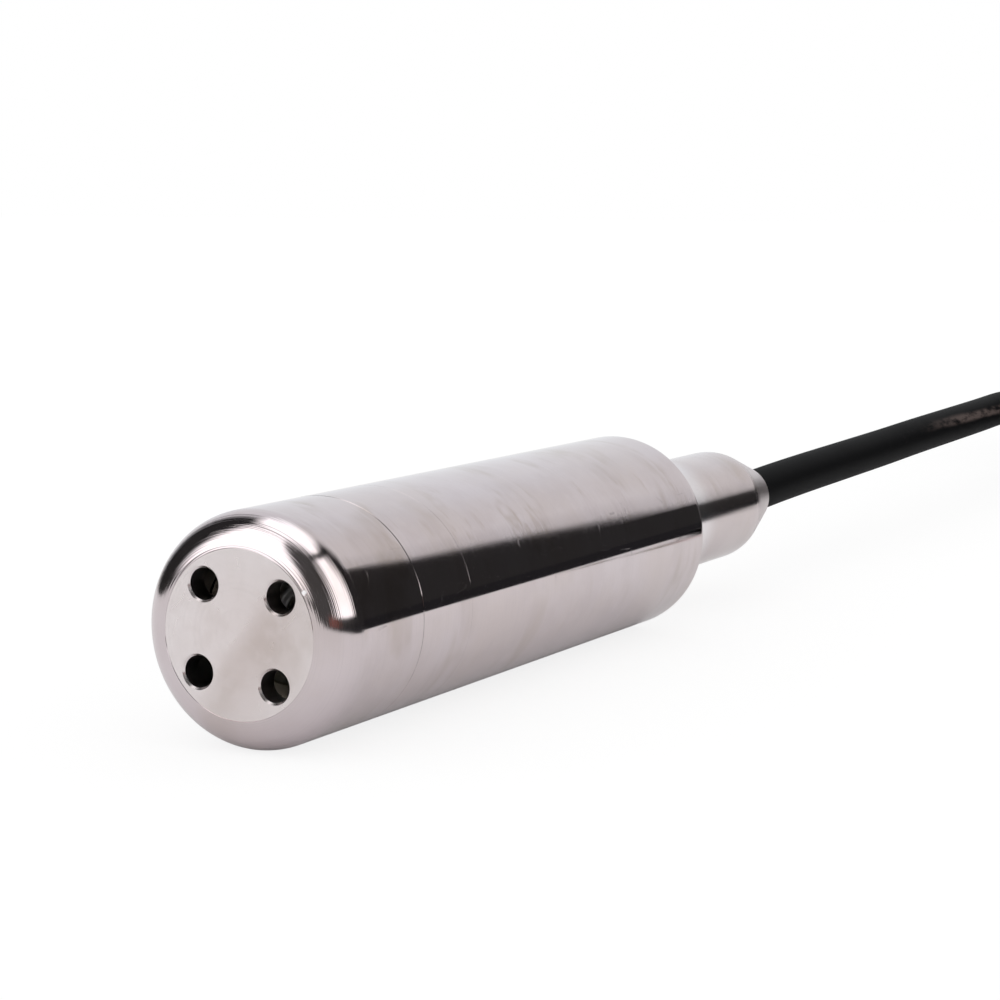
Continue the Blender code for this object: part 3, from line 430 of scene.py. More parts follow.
# Geometry Nodes: the tree's inputs are named, and values go in by the socket's identifier
class Maker(Tree):
    def __init__(self, name, sockets):
        self.tree = bpy.data.node_groups.new(name, "GeometryNodeTree")
        side = self.tree.interface
        side.new_socket("Geometry", in_out="INPUT", socket_type="NodeSocketGeometry")
        side.new_socket("Geometry", in_out="OUTPUT", socket_type="NodeSocketGeometry")
        self.names = {}
        for label, kind in {"Material": "Material", **sockets}.items():
            made = side.new_socket(label, in_out="INPUT", socket_type="NodeSocket" + kind)
            self.names[label] = made.identifier
        self.given = self.tree.nodes.new("NodeGroupInput")
        self.result = self.tree.nodes.new("NodeGroupOutput")

    def value(self, label):
        return Signal(self, self.given.outputs[label])

    def finish(self, geometry):
        real = self.add("GeometryNodeRealizeInstances", {}, {0: geometry})
        sockets = {"Geometry": real, "Material": self.value("Material")}
        coat = self.add("GeometryNodeSetMaterial", {}, sockets)
        self.tree.links.new(coat.socket, self.result.inputs[0])

    def give(self, piece, values):
        step = piece.modifiers.new(self.tree.name, "NODES")
        step.node_group = self.tree
        for label, value in values.items():
            step[self.names[label]] = value
        bpy.context.view_layer.update()


# Turned and ground steel, from which the finishes below change some values
steel = {
    "tint": (0.640, 0.573, 0.592),
    "rough": 0.05,
    "roughBy": {"fine": 0.05, "cloudy": 0.04, "scratch": 0.10, "stain": 0.02, "nickGlint": 0.6},
    "softFrom": None,
    "softer": 0.20,
    "rings": 1.0,
    "ringScale": 4200,
    "ringAt": (0.50, 0.72),
    "ringShare": 0.14,
    "ringDark": 0.74,
    "grain": 1.0,
    "smudged": 1.0,
    "smudge": (0.43, 0.36, 0.32),
    "patches": (0.36, 0.60),
    "stainAt": (0.50, 0.66),
    "stainShare": 0.75,
    "dripAt": (0.53, 0.68),
    "dripShare": 0.85,
    "dripAbove": (0.002, 0.006),
    "dripPatches": (0.40, 0.55),
    "cream": (0.600, 0.520, 0.505),
    "creamAt": (0.40, 0.66),
    "creamShare": 0.6,
    "mottled": 170,
    "mottleAt": (0.40, 0.64),
    "mottleShare": 0.45,
    "mottleTint": (0.89, 0.87, 0.86),
    # Near-white colour for painted highlights: the neck's root stripe and the faced end's rim
    "bright": (0.88, 0.86, 0.88),
    "paintedHighlightTo": None,
    "paintedHighlightWander": 0.004,
    "paintedHighlightShare": 0.6,
    # Radii over which the faced end gets lighter towards its rim, a painted highlight
    "rim": (0.003, 0.0095),
    "rimPaintedHighlight": 0.0,
    # Chips at the rim, each with a glint painted as near-white colour
    "nickGlints": (),
    "nickGlintTint": (0.95, 0.93, 0.94),
    "nickGlintNoise": (2600, 1.4),
    "scratchDepth": 1.5,
    "bump": 0.0000012,
    # Scale, detail, roughness, stretch and turn
    "noises": {
        "lines": (14000, 3.0, 0.7, (1.0, 0.012, 0.012)),
        "cloudy": (90, 3.0, 0.55),
        "fine": (1500, 3.0, 0.6, (1.0, 0.10, 0.10)),
        "drops": (115, 3.0, 0.6, (1.0, 0.38, 0.30), (0.0, 0.0, 0.35)),
        "drips": (190, 4.0, 0.62, (1.0, 0.36, 0.36), (0.0, 0.0, 0.25)),
        "warm": (48, 4.0, 0.6, (1, 1, 1), (0.3, 0.2, 0.5)),
    },
    # Scale, width, how often the lines break, stretch and turn
    "scratches": [
        (60, 0.004, 7.0, (1, 1, 1), (0, 0, 0)),
        (110, 0.005, 5.0, (0.5, 1.2, 1.2), (0.4, 0.3, 0.9)),
    ],
    "scratchCore": 0.4,
    "scratchGaps": (0.52, 0.60),
}

finishes = {
    "stainlessGround": {"rings": 0.8},
    "stainlessNeckPaintedHighlight": {
        # The neck's root gets a painted highlight stripe
        "rough": 0.13, "rings": 0.8, "paintedHighlightTo": (0.1155, 0.1215), "softFrom": (0.1366, 0.1384),
    },
    "stainlessFacedPaintedHighlight": {
        # Tint raised above the body's steel and a lighter rim: painted highlight on the faced end
        "rough": 0.22, "rings": 5.0, "smudged": 1.1, "ringScale": 2600, "tint": (0.735, 0.672, 0.670),
        "mottled": 430, "rimPaintedHighlight": 0.2,
    },
    "stainlessPolishedNickGlint": {
        "rough": 0.09, "rings": 14.0, "grain": 0.8, "smudged": 0.5, "ringScale": 5000,
        # A chip on the corner, its glint painted as near-white colour
        "nickGlints": [((0.0003, -0.00870, 0.00545), 0.00045)],
    },
    # Hole walls and the chamber: rough machined steel, darkened to a painted shade
    "stainlessDrilledPaintedShade": {"rough": 0.38, "tint": (0.16, 0.15, 0.15), "smudged": 0.6},
}


def hairlines(look, scale, width, breaks, *place):
    # Thin curved lines along the middle level of a noise, broken up by a second one
    field = look.noise(scale, 1.0, 0.5, *place)
    line = 1 - look.step(abs(field - 0.5), width * steel["scratchCore"], width)
    return line * look.step(look.noise(scale * breaks, 1.0, 0.5, *place), *steel["scratchGaps"])


def nickGlintMask(look, place, size):
    # 1 within a chipped spot with a ragged edge, where a glint is painted
    away = look.node("VectorMath", {"operation": "DISTANCE"}, {0: look.place(), 1: place}, "Value")
    scale, ragged = steel["nickGlintNoise"]
    away = away + (look.noise(scale) - 0.5) * (ragged * size)
    return 1 - look.step(away, 0.5 * size, size)


def steelLook(name, changes):
    finish = {**steel, **changes}
    material, look = startMaterial(name)
    tint = finish["tint"]

    def layer(field, label):
        # Where a layer covers the steel, by its noise and its two values
        return look.step(field, *finish[label + "At"]) * (finish[label + "Share"] * finish["smudged"])

    x, y, z = look.split(look.place())
    out = (y * y + z * z).math("SQRT")
    lines, cloudy, fine, drops, drips, warm = [
        look.noise(*noise) for noise in finish["noises"].values()
    ]
    # Stains run round the body, as wiped drops do, and dried drips are narrower on its upper side
    stain = layer(drops, "stain") * look.step(cloudy, *finish["patches"])
    base = look.mix(stain, tint, finish["smudge"])
    upper = look.step(z, *finish["dripAbove"]) * look.step(cloudy, *finish["dripPatches"])
    base = look.mix(layer(drips, "drip") * upper, base, finish["smudge"])
    # Warm clouds, fine mottling and turned marks
    base = look.mix(layer(warm, "cream"), base, finish["cream"])
    mottle = layer(look.noise(finish["mottled"], 4.0, 0.65), "mottle")
    base = look.mix(mottle, base, [a * b for a, b in zip(finish["mottleTint"], tint)])
    sockets = {"W": out + x, "Scale": finish["ringScale"], "Detail": 1.0}
    marks = look.node("TexNoise", {"noise_dimensions": "1D"}, sockets)
    share = look.step(marks, *finish["ringAt"]) * finish["ringShare"]
    base = look.mix(share, base, [finish["ringDark"] * c for c in tint])
    first, second = [hairlines(look, *scratch) for scratch in finish["scratches"]]
    scratch = first.math("MAXIMUM", second)
    by = finish["roughBy"]
    roughness = finish["rough"] + (fine - 0.5) * by["fine"] + (cloudy - 0.5) * by["cloudy"]
    roughness = roughness + scratch * by["scratch"] + stain * by["stain"]
    if finish["softFrom"]:
        roughness = roughness + look.step(x, *finish["softFrom"]) * finish["softer"]
    # Painted highlight: the faced end is lighter towards its rim
    if finish["rimPaintedHighlight"]:
        share = look.step(out, *finish["rim"]) * finish["rimPaintedHighlight"]
        base = look.mix(share, base, finish["bright"])
    if finish["paintedHighlightTo"]:
        # Painted highlight: the neck's root is lighter up to a wandering station
        wander = (cloudy - 0.5) * finish["paintedHighlightWander"]
        bright = 1 - look.step(x + wander, *finish["paintedHighlightTo"])
        base = look.mix(bright * finish["paintedHighlightShare"], base, finish["bright"])
    # Real chips, with their glint painted as near-white colour on rougher metal
    for place, size in finish["nickGlints"]:
        nickGlint = nickGlintMask(look, place, size)
        roughness = roughness + nickGlint * by["nickGlint"]
        base = look.mix(nickGlint, base, finish["nickGlintTint"])
    height = lines * finish["grain"] + marks * finish["rings"] - scratch * finish["scratchDepth"]
    finishMaterial(look, {
        "Base Color": base, "Metallic": 1.0, "Roughness": roughness,
        "Normal": look.bump(height, finish["bump"]),
    })
    return material


bodySteel, glandSteelPaintedHighlight, faceSteelPaintedHighlight, noseSteelNickGlint, drilledSteelPaintedShade = [
    steelLook(name, changes) for name, changes in finishes.items()
]


# Nose cap: a turned cup with the corner as a crowned arc, four drilled holes and an inner thread
nose = {
    "corner": 0.0040,
    "crease": 7.0,
    "cornerSteps": 28,
    "cornerDepth": 0.0056,
    "face": 0.0030,
    "line": 0.00007,
    "lineFall": (0.45, 0.4),
    "bore": 0.0116,
    "chamber": 0.0098,
    "mouth": 0.0005,
    "groove": 0.0144,
    "grooveHalf": 0.0009,
    "grooveRadius": 0.0131,
    "threadStart": 0.0083,
    "threadEnd": 0.0134,
    "runIn": 0.0002,
    "pitch": 0.0015,
    "pitchSteps": 12,
    "threadDepth": 0.0004,
    "threadBand": 0.0001,
    "holes": 4,
    "holeRadius": 0.00185,
    "holeCircle": 0.00725,
    "holePhase": math.radians(49.9),
    "holeEdge": 0.00027,
    "holeSoft": (0.00003, 0.00004),
    "holeSides": 64,
    "drillPast": 0.001,
    "gap": 0.00010,
    "lip": 0.00004,
    "faceMargin": 0.0001,
    "segments": 216,
}


def threadMaker():
    # Moves points in or out along a helix, between two stations and within a band of radii
    labels = ("Start", "End", "Pitch", "Depth", "Low radius", "High radius")
    maker = Maker("helicalThread", dict.fromkeys(labels, "Float"))
    start, end, pitch, depth, low, high = [maker.value(label) for label in labels]
    x, y, z = maker.split(maker.add("GeometryNodeInputPosition"))
    away = (y * y + z * z).math("SQRT")
    turn = z.math("ARCTAN2", y) / (2 * math.pi)
    # A flat crest and root, with straight flanks between
    wave = (x / pitch - turn).math("PINGPONG", 0.5) * 3.0 - 0.25
    wave = wave.math("MAXIMUM", 0.0).math("MINIMUM", 1.0)
    fade = ((x - start) / pitch).math("MINIMUM", (end - x) / pitch)
    fade = fade.math("MAXIMUM", 0.0).math("MINIMUM", 1.0)
    within = away.math("GREATER_THAN", low) * away.math("LESS_THAN", high)
    share = wave * fade * depth * within / away
    sideways = maker.add("ShaderNodeCombineXYZ", {}, {1: y * share, 2: z * share})
    sockets = {"Geometry": maker.value("Geometry"), "Offset": sideways}
    maker.finish(maker.add("GeometryNodeSetPosition", {}, sockets))
    return maker


threads = threadMaker()


def cutThread(piece, start, end, depth, radius):
    threads.give(piece, {
        "Material": bodySteel, "Start": start, "End": end, "Pitch": nose["pitch"], "Depth": depth,
        "Low radius": radius - nose["threadBand"], "High radius": radius + nose["threadBand"],
    })
    settled(piece, 30)


def noseProfile():
    body = probe["body"]
    face = body - nose["corner"]
    rise = math.radians(nose["crease"])
    radius = nose["corner"] / (1 - math.sin(rise))
    rear = probe["seam1"] - nose["gap"]
    lip, bore, mouth, line = nose["lip"], nose["bore"], nose["mouth"], nose["line"]
    back, out = nose["lineFall"]
    profile = [(0.0, 0.0), (0.0, face - line), (line * back, face - line * out)]
    turn = 180 - nose["crease"]
    profile += arc(radius * math.cos(rise), body - radius, radius, turn, 90, nose["cornerSteps"])
    profile += [(rear - lip, body), (rear, body - lip), (rear, bore + mouth), (rear - mouth, bore)]
    near = nose["groove"] - nose["grooveHalf"]
    far = nose["groove"] + nose["grooveHalf"]
    profile += [(far, bore), (far, nose["grooveRadius"]), (near, nose["grooveRadius"]), (near, bore)]
    start = nose["threadStart"]
    pitch = nose["pitch"] / nose["pitchSteps"]
    profile += rows(nose["threadEnd"], start + nose["runIn"], bore, pitch)
    inner, plate = nose["chamber"], nose["face"]
    return profile + [(start, bore), (start, inner), (plate, inner), (plate, 0.0)]


def makeNose():
    piece = turnedPiece("noseCapShell", noseProfile(), nose["segments"], bodySteel)
    start = nose["threadStart"] + nose["runIn"]
    cutThread(piece, start, nose["threadEnd"], nose["threadDepth"], nose["bore"])
    radius, edge, past = nose["holeRadius"], nose["holeEdge"], nose["drillPast"]
    before, after = nose["holeSoft"]
    end = nose["face"] + past
    drill = [(-past, 0.0), (-past, radius + edge + past), (edge - before, radius + before)]
    drill += [(edge + after, radius), (end, radius), (end, 0.0)]
    tools = []
    for k in range(nose["holes"]):
        a = nose["holePhase"] + 2 * math.pi * k / nose["holes"]
        place = (0.0, nose["holeCircle"] * math.cos(a), nose["holeCircle"] * math.sin(a))
        name = f"noseDrill{k}"
        tools.append(cutter(name, turned(name, drill, nose["holeSides"]), place))
    cut(piece, tools, 6)
    for look in (faceSteelPaintedHighlight, noseSteelNickGlint, drilledSteelPaintedShade):
        piece.data.materials.append(look)
    rim = probe["body"] - nose["corner"] - nose["faceMargin"]
    # Inside the rim the face's steel, and deeper the drilled steel darkened as painted shade
    for poly in piece.data.polygons:
        middle = poly.center
        if math.hypot(middle.y, middle.z) < rim:
            poly.material_index = 1 if middle.x < nose["holeEdge"] else 3
        elif middle.x < nose["cornerDepth"]:
            poly.material_index = 2
    stands(piece, "cap", "stainless", "nose_cap")


makeNose()
print("nose cap")


# Sensor seat: the ring between the seams and the threaded spigot that shows when the cap is off
seat = {
    "spigot": 0.0113,
    "spigotStart": 0.0086,
    "chamfer": 0.0006,
    "mouth": 0.0003,
    "relief": 0.0015,
    "reliefDepth": 0.0005,
    "threadStop": 0.0005,
    "runOut": 0.0004,
    "threadDepth": -0.00045,
    "bore": 0.0098,
    "rearBore": 0.0080,
    "fit": 0.0112,
    "ledge": 0.0264,
    "end": 0.0398,
    "lip": 0.00004,
    "fineLip": 0.00001,
    "segments": 200,
}


def makeSeat():
    body, seam1, seam2 = probe["body"], probe["seam1"], probe["seam2"]
    spigot, front, chamfer, mouth = seat["spigot"], seat["spigotStart"], seat["chamfer"], seat["mouth"]
    lip, fine, fit, end = seat["lip"], seat["fineLip"], seat["fit"], seat["end"]
    relief = seam1 - seat["relief"]
    root = spigot - seat["reliefDepth"]
    threadEnd = relief - seat["threadStop"]
    profile = [(front, seat["bore"] + mouth), (front, spigot - chamfer)]
    profile += rows(front + chamfer, threadEnd, spigot, nose["pitch"] / nose["pitchSteps"])
    profile += [(relief, root), (seam1, root), (seam1, body - lip), (seam1 + lip, body)]
    profile += [(seam2 - fine, body), (seam2, body - fine), (seam2, fit)]
    profile += [(end - chamfer, fit), (end, fit - chamfer), (end, seat["rearBore"])]
    profile += [(seat["ledge"], seat["rearBore"]), (seat["ledge"], seat["bore"])]
    profile.append((front + mouth, seat["bore"]))
    piece = turnedPiece("sensorSeatRing", profile, seat["segments"], bodySteel)
    cutThread(piece, front + mouth, threadEnd + seat["runOut"], seat["threadDepth"], spigot)
    stands(piece, "probe", "stainless", "sensor_seat")


makeSeat()


# Body tube
tube = {
    "bore": 0.0115,
    "mouth": 0.0005,
    "frontGap": 0.00002,
    "lip": 0.00001,
    "rearRound": 0.0004,
    "ringMargin": 0.001,
    "ringStep": 0.006,
    "segments": 216,
}


def makeTube():
    body, end = probe["body"], probe["bodyEnd"]
    front = probe["seam2"] + tube["frontGap"]
    corner, lip, margin, mouth = tube["rearRound"], tube["lip"], tube["ringMargin"], tube["mouth"]
    profile = [(front, tube["bore"] + mouth), (front, body - lip), (front + lip, body)]
    profile += rows(front + margin, end - margin, body, tube["ringStep"])
    profile += arc(end - corner, body - corner, corner, 90, 0, 6)
    profile += [(end, tube["bore"]), (front + mouth, tube["bore"])]
    piece = turnedPiece("bodyTube", profile, tube["segments"], bodySteel)
    stands(piece, "probe", "stainless", "housing_tube")


makeTube()


# Cable gland: a parallel neck with a small root round, then a taper down to the cable
gland = {
    "neck": 0.0085,
    "neckLength": 0.0358,
    "taperLength": 0.0136,
    "endRadius": 0.0050,
    "fillet": 0.0020,
    "blend": 0.0110,
    "edge": 0.0010,
    "bore": 0.0062,
    "mouth": 0.0005,
    "cableBore": 0.00365,
    "boreEdge": 0.0003,
    "plug": 0.0100,
    "fit": 0.0112,
    "guide": 0.0176,
    "guideTaper": 0.0025,
    "ringMargins": (0.004, 0.002),
    "ringStep": 0.006,
    "segments": 180,
}


def makeGland():
    start, neck, tip = probe["bodyEnd"], gland["neck"], gland["endRadius"]
    end = start + gland["neckLength"] + gland["taperLength"]
    slope = math.atan2(neck - tip, gland["taperLength"])
    lean = 90 - math.degrees(slope)
    blend, edge, fillet = gland["blend"], gland["edge"], gland["fillet"]
    shoulder = start + gland["neckLength"] - blend * math.tan(slope / 2)
    plug = start - gland["plug"]
    mouth, bore, cableBore, lip = gland["mouth"], gland["bore"], gland["cableBore"], gland["boreEdge"]
    near, far = gland["ringMargins"]
    profile = [(plug, bore + mouth), (plug, gland["fit"]), (start, gland["fit"])]
    profile += arc(start + fillet, neck + fillet, fillet, 180, 270, 14)
    profile += rows(start + near, shoulder - far, neck, gland["ringStep"])
    profile += arc(shoulder, neck - blend, blend, 90, lean, 12)
    profile += arc(end - edge, tip - edge, edge, lean, 0, 8)
    profile += arc(end - lip, cableBore + lip, lip, 0, -90, 5)
    guide = end - gland["guide"]
    profile += [(guide, cableBore), (guide - gland["guideTaper"], bore), (plug + mouth, bore)]
    piece = turnedPiece("cableGland", profile, gland["segments"], glandSteelPaintedHighlight)
    stands(piece, "probe", "stainless", "gland_body")


makeGland()
print("seat, tube and gland")


# Cable: its route repeats the solids', and winds into a hank from the bottom row up
cable = {
    "radius": 0.0034,
    "lead": [
        (0.1500, 0.0000), (0.1517, 0.0001), (0.1650, 0.0006), (0.1800, 0.0010), (0.2000, 0.0014),
        (0.2200, 0.0018), (0.2400, 0.0023), (0.2600, 0.0027), (0.2800, 0.0031), (0.2980, 0.0035),
        (0.3060, 0.0029), (0.3150, 0.0009), (0.3240, -0.0028), (0.3330, -0.0065), (0.3420, -0.0085),
        (0.3500, -0.0091), (0.3610, -0.0091),
    ],
    "tail": [
        (0.3610, 0.0249), (0.3500, 0.0249), (0.3380, 0.0240), (0.3250, 0.0209), (0.3120, 0.0154),
        (0.3000, 0.0076), (0.2880, -0.0002), (0.2750, -0.0057), (0.2620, -0.0088), (0.2500, -0.0097),
        (0.2300, -0.0097),
    ],
    "nearX": 0.3720,
    "straight": 0.0620,
    "centreY": -0.0340,
    "inner": 0.0204,
    "columns": 3,
    "rows": 6,
    "bottomRow": -0.0091,
    "lastTurn": 5580,
    "rowTurn": 960,
    "crossTurns": (240, 600),
    "climbTurn": 900,
    "moveTurn": 60,
    "stepDegrees": 15,
    "runSteps": 4,
    "spacing": 0.0030,
    "sides": 20,
}


def hankSteps():
    # (start, end, columns moved, rows moved), in degrees along the winding
    moves = []
    for row in range(cable["rows"]):
        inward = -1 if row % 2 == 0 else 1
        places = [(turn, inward, 0) for turn in cable["crossTurns"]] + [(cable["climbTurn"], 0, 1)]
        for turn, across, up in places:
            start = cable["rowTurn"] * row + turn
            moves.append((start, start + cable["moveTurn"], across, up))
    return moves[:-1]


def hankRoute():
    # Half circles about the near and far centres, with a straight run before each
    diameter = 2 * cable["radius"]
    nearX = cable["nearX"]
    farX = nearX + cable["straight"]
    moves = hankSteps()
    steps = cable["runSteps"]
    route = []
    for turn in range(0, cable["lastTurn"] + 1, cable["stepDegrees"]):
        column = cable["columns"] - 1.0
        row = 0.0
        for start, end, across, up in moves:
            share = min(max((turn - start) / (end - start), 0.0), 1.0)
            share = share * share * (3 - 2 * share)
            column += across * share
            row += up * share
        away = cable["inner"] + diameter * column
        a = math.radians(turn)
        y = cable["centreY"] + away * math.cos(a)
        z = cable["bottomRow"] + diameter * row
        if turn % 180 == 0:
            ends = (nearX, farX) if turn % 360 == 0 else (farX, nearX)
            route += [(ends[0] + (ends[1] - ends[0]) * k / steps, y, z) for k in range(steps + 1)]
        else:
            centre = farX if turn % 360 < 180 else nearX
            route.append((centre + away * math.sin(a), y, z))
    return route


def curveThrough(points, spacing):
    # Evenly spaced points along a smooth curve through the given ones
    knots = [Vector(p) for p in points]
    knots = [2 * knots[0] - knots[1]] + knots + [2 * knots[-1] - knots[-2]]
    fine = [knots[1]]
    for a, b, c, d in zip(knots, knots[1:], knots[2:], knots[3:]):
        for k in range(1, 9):
            t = k / 8
            bend = (2 * a - 5 * b + 4 * c - d) * t * t + (3 * b - a - 3 * c + d) * t ** 3
            fine.append(b + ((c - a) * t + bend) / 2)
    reach = [0.0]
    for a, b in zip(fine, fine[1:]):
        reach.append(reach[-1] + (b - a).length)
    count = round(reach[-1] / spacing)
    route = []
    k = 0
    for n in range(count + 1):
        goal = reach[-1] * n / count
        while k < len(fine) - 2 and reach[k + 1] < goal:
            k += 1
        share = (goal - reach[k]) / (reach[k + 1] - reach[k])
        route.append(fine[k].lerp(fine[k + 1], share))
    return route, reach[-1]


def polyCurve(name, route):
    line = bpy.data.curves.new(name, "CURVE")
    line.dimensions = "3D"
    spline = line.splines.new("POLY")
    spline.points.add(len(route) - 1)
    for point, place in zip(spline.points, route):
        point.co = (*place, 1.0)
    piece = bpy.data.objects.new(name, line)
    bpy.context.scene.collection.objects.link(piece)
    return piece


def meshAlong(maker, name, route, values):
    # new_from_object gives a curve's modifiers as a mesh, which goes into an object of its own
    line = polyCurve(name + "Line", route)
    maker.give(line, values)
    graph = bpy.context.evaluated_depsgraph_get()
    mesh = bpy.data.meshes.new_from_object(line.evaluated_get(graph), depsgraph=graph)
    mesh.name = name
    bpy.data.objects.remove(line)
    return newPiece(name, mesh)


def sleeveMaker():
    # A round skin along a curve, closed at both ends
    maker = Maker("skinAlong", {"Radius": "Float", "Sides": "Int"})
    ring = maker.add("GeometryNodeCurvePrimitiveCircle", {}, {
        "Resolution": maker.value("Sides"), "Radius": maker.value("Radius"),
    })
    maker.finish(maker.add("GeometryNodeCurveToMesh", {}, {
        "Curve": maker.value("Geometry"), "Profile Curve": ring, "Fill Caps": True,
    }))
    return maker


skins = sleeveMaker()


def sweep(name, route, radius, sides, material):
    piece = meshAlong(skins, name, route, {"Material": material, "Radius": radius, "Sides": sides})
    smooth(piece.data, 40)
    return piece


# Black polyurethane with a soft sheen, faint dust and a painted sheen line along the lead on the camera's
# side
polyurethane = {
    "tint": (0.003, 0.003, 0.0035),
    "rough": 0.58,
    "specular": 0.03,
    "patchScale": 38,
    "patchAt": (0.42, 0.70),
    "patchRough": 0.14,
    "dustScale": 900,
    "dustAt": (0.50, 0.78),
    "dustTint": (0.050, 0.042, 0.044),
    "dustShare": 0.30,
    "dustRough": 0.10,
    # A lighter brownish line painted as sheen on the lead's camera side
    "paintedSheenAlong": (0.232, 0.262, 0.300, 0.325),
    "paintedSheenHeight": 0.0042,
    "paintedSheenEdge": (0.0003, 0.0012),
    "paintedSheenSide": (0.0, 0.001),
    "paintedSheenScale": 520,
    "paintedSheenAt": (0.40, 0.62),
    "paintedSheenTint": (0.12, 0.092, 0.085),
    "paintedSheenShare": 0.75,
    "skinScales": (2600, 320),
    "bump": 0.000012,
}


def cableLook():
    given = polyurethane
    material, look = startMaterial("cableJacket")
    patch = look.noise(given["patchScale"], 3.0, 0.6)
    dust = look.step(look.noise(given["dustScale"], 4.0, 0.7), *given["dustAt"])
    dust = dust * look.step(patch, *given["patchAt"])
    base = look.mix(dust * given["dustShare"], given["tint"], given["dustTint"])
    x, y, z = look.split(look.place())
    # Painted sheen: a lighter line along the lead, high on its side facing the camera
    paintedSheen = look.span(x, *given["paintedSheenAlong"])
    paintedSheen = paintedSheen * (1 - look.step(abs(z - given["paintedSheenHeight"]), *given["paintedSheenEdge"]))
    paintedSheen = paintedSheen * look.step(0 - y, *given["paintedSheenSide"])
    sheenBreaks = look.noise(given["paintedSheenScale"], 3.0, 0.65, (0.25, 1, 1))
    paintedSheen = paintedSheen * look.step(sheenBreaks, *given["paintedSheenAt"])
    base = look.mix(paintedSheen * given["paintedSheenShare"], base, given["paintedSheenTint"])
    rough = given["rough"] + (patch - 0.5) * given["patchRough"] + dust * given["dustRough"]
    fine, coarse = given["skinScales"]
    skin = look.noise(fine, 3.0, 0.6) * 0.5 + look.noise(coarse)
    finishMaterial(look, {
        "Base Color": base, "Roughness": rough, "Normal": look.bump(skin, given["bump"]),
        "Specular IOR Level": given["specular"],
    })
    return material


jacket = cableLook()


def makeCable():
    lead = [(x, 0.0, z) for x, z in cable["lead"]]
    wound = hankRoute()
    tailY = wound[-1][1]
    tail = [(x, tailY, z) for x, z in cable["tail"]]
    route, length = curveThrough(lead + wound + tail, cable["spacing"])
    piece = sweep("cableJacketSkin", route, cable["radius"], cable["sides"], jacket)
    stands(piece, "probe", "cable_jacket", "cable_lead", "cable_tail", "cable_hank")
    print(f"cable of {length:.3f} m")
    return piece, route, length


cablePiece, cableRoute, cableLength = makeCable()


# Finishes of the solids that stay: tint, metal and roughness
plain = {
    "stainless_satin": ((0.60, 0.58, 0.59), 1.0, 0.34),
    "steel_foil": ((0.60, 0.59, 0.58), 1.0, 0.36),
    "nickel_brass": ((0.66, 0.62, 0.50), 1.0, 0.28),
    "tinned_copper": ((0.72, 0.70, 0.66), 1.0, 0.28),
    "gilt_pin": ((0.80, 0.62, 0.25), 1.0, 0.25),
    "black_rubber": ((0.022, 0.022, 0.022), 0.0, 0.62),
    "white_nylon": ((0.82, 0.82, 0.79), 0.0, 0.42),
    "circuit_board": ((0.03, 0.20, 0.09), 0.0, 0.40),
    "chip_body": ((0.03, 0.03, 0.035), 0.0, 0.55),
    "capacitor_body": ((0.80, 0.56, 0.10), 0.0, 0.42),
    "arrester_ceramic": ((0.80, 0.76, 0.72), 0.0, 0.30),
    "red_wire": ((0.55, 0.03, 0.03), 0.0, 0.38),
    "black_wire": ((0.03, 0.03, 0.03), 0.0, 0.38),
    "white_wire": ((0.80, 0.80, 0.78), 0.0, 0.38),
    "yellow_wire": ((0.75, 0.55, 0.04), 0.0, 0.38),
    "vent_tube": ((0.72, 0.74, 0.74), 0.0, 0.25),
}

plainSkin = {
    "cloudScale": 260,
    "cloudAt": (0.35, 0.75),
    "cloudShare": 0.6,
    "darker": 0.78,
    "roughVaries": 0.16,
    "skinScale": 3200,
    "bump": 0.000006,
}


def plainLook(name, tint, metal, rough):
    # One colour with slight clouding, a varied gloss and a fine skin
    material, look = startMaterial(name)
    cloudy = look.noise(plainSkin["cloudScale"], 3.0, 0.6)
    fine = look.noise(plainSkin["skinScale"], 3.0, 0.6)
    darker = [plainSkin["darker"] * c for c in tint]
    share = look.step(cloudy, *plainSkin["cloudAt"]) * plainSkin["cloudShare"]
    finishMaterial(look, {
        "Base Color": look.mix(share, tint, darker), "Metallic": metal,
        "Roughness": rough + (cloudy - 0.5) * plainSkin["roughVaries"],
        "Normal": look.bump(fine, plainSkin["bump"]),
    })
    return material


def dressSolids():
    looks = {slot: plainLook(slot, *values) for slot, values in plain.items()}
    looks["stainless"] = bodySteel
    looks["cable_jacket"] = jacket
    slots = {part["node"]: part["material_slot"] for part in frame["record"]["subparts"]}
    for name, node in frame["nodes"].items():
        node.data.materials.clear()
        node.data.materials.append(looks[slots[name]])
        node.data.shade_smooth()
    return looks


looks = dressSolids()
print("solids dressed")


# Rubber ring in the cap's groove
lockRing = {"radius": 0.0122, "section": 0.0006, "steps": 20, "segments": 160}


def makeLockRing():
    section = arc(nose["groove"], lockRing["radius"], lockRing["section"], 0, 360, lockRing["steps"])[:-1]
    piece = turnedPiece("capLockSeal", section, lockRing["segments"], looks["black_rubber"])
    stands(piece, "lock_ring", "black_rubber", "cap_lock_ring")


# Pressed foil with round waves, welded at its rim
foil = {"thickness": 0.00012, "waves": 4, "height": 0.0003, "steps": 72, "segments": 128}


def makeDiaphragm():
    low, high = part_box("sensor_diaphragm")
    radius = high.y
    wave = []
    for k in range(foil["steps"] + 1):
        share = k / foil["steps"]
        swell = (1 - math.cos(2 * math.pi * foil["waves"] * share)) / 2
        wave.append((low.x + foil["height"] * swell, radius * share))
    back = [(x + foil["thickness"], r) for x, r in reversed(wave)]
    piece = turnedPiece("corrugatedFoil", wave + back, foil["segments"], looks["steel_foil"])
    stands(piece, "probe", "steel_foil", "sensor_diaphragm")


# Ring nut over the sensor, with two spanner slots
ringNut = {
    "bore": 0.0074,
    "edge": 0.00025,
    "slotWidth": 0.0020,
    "slotDepth": 0.0014,
    "slotReach": 0.012,
    "slotPast": 0.001,
    "segments": 128,
}


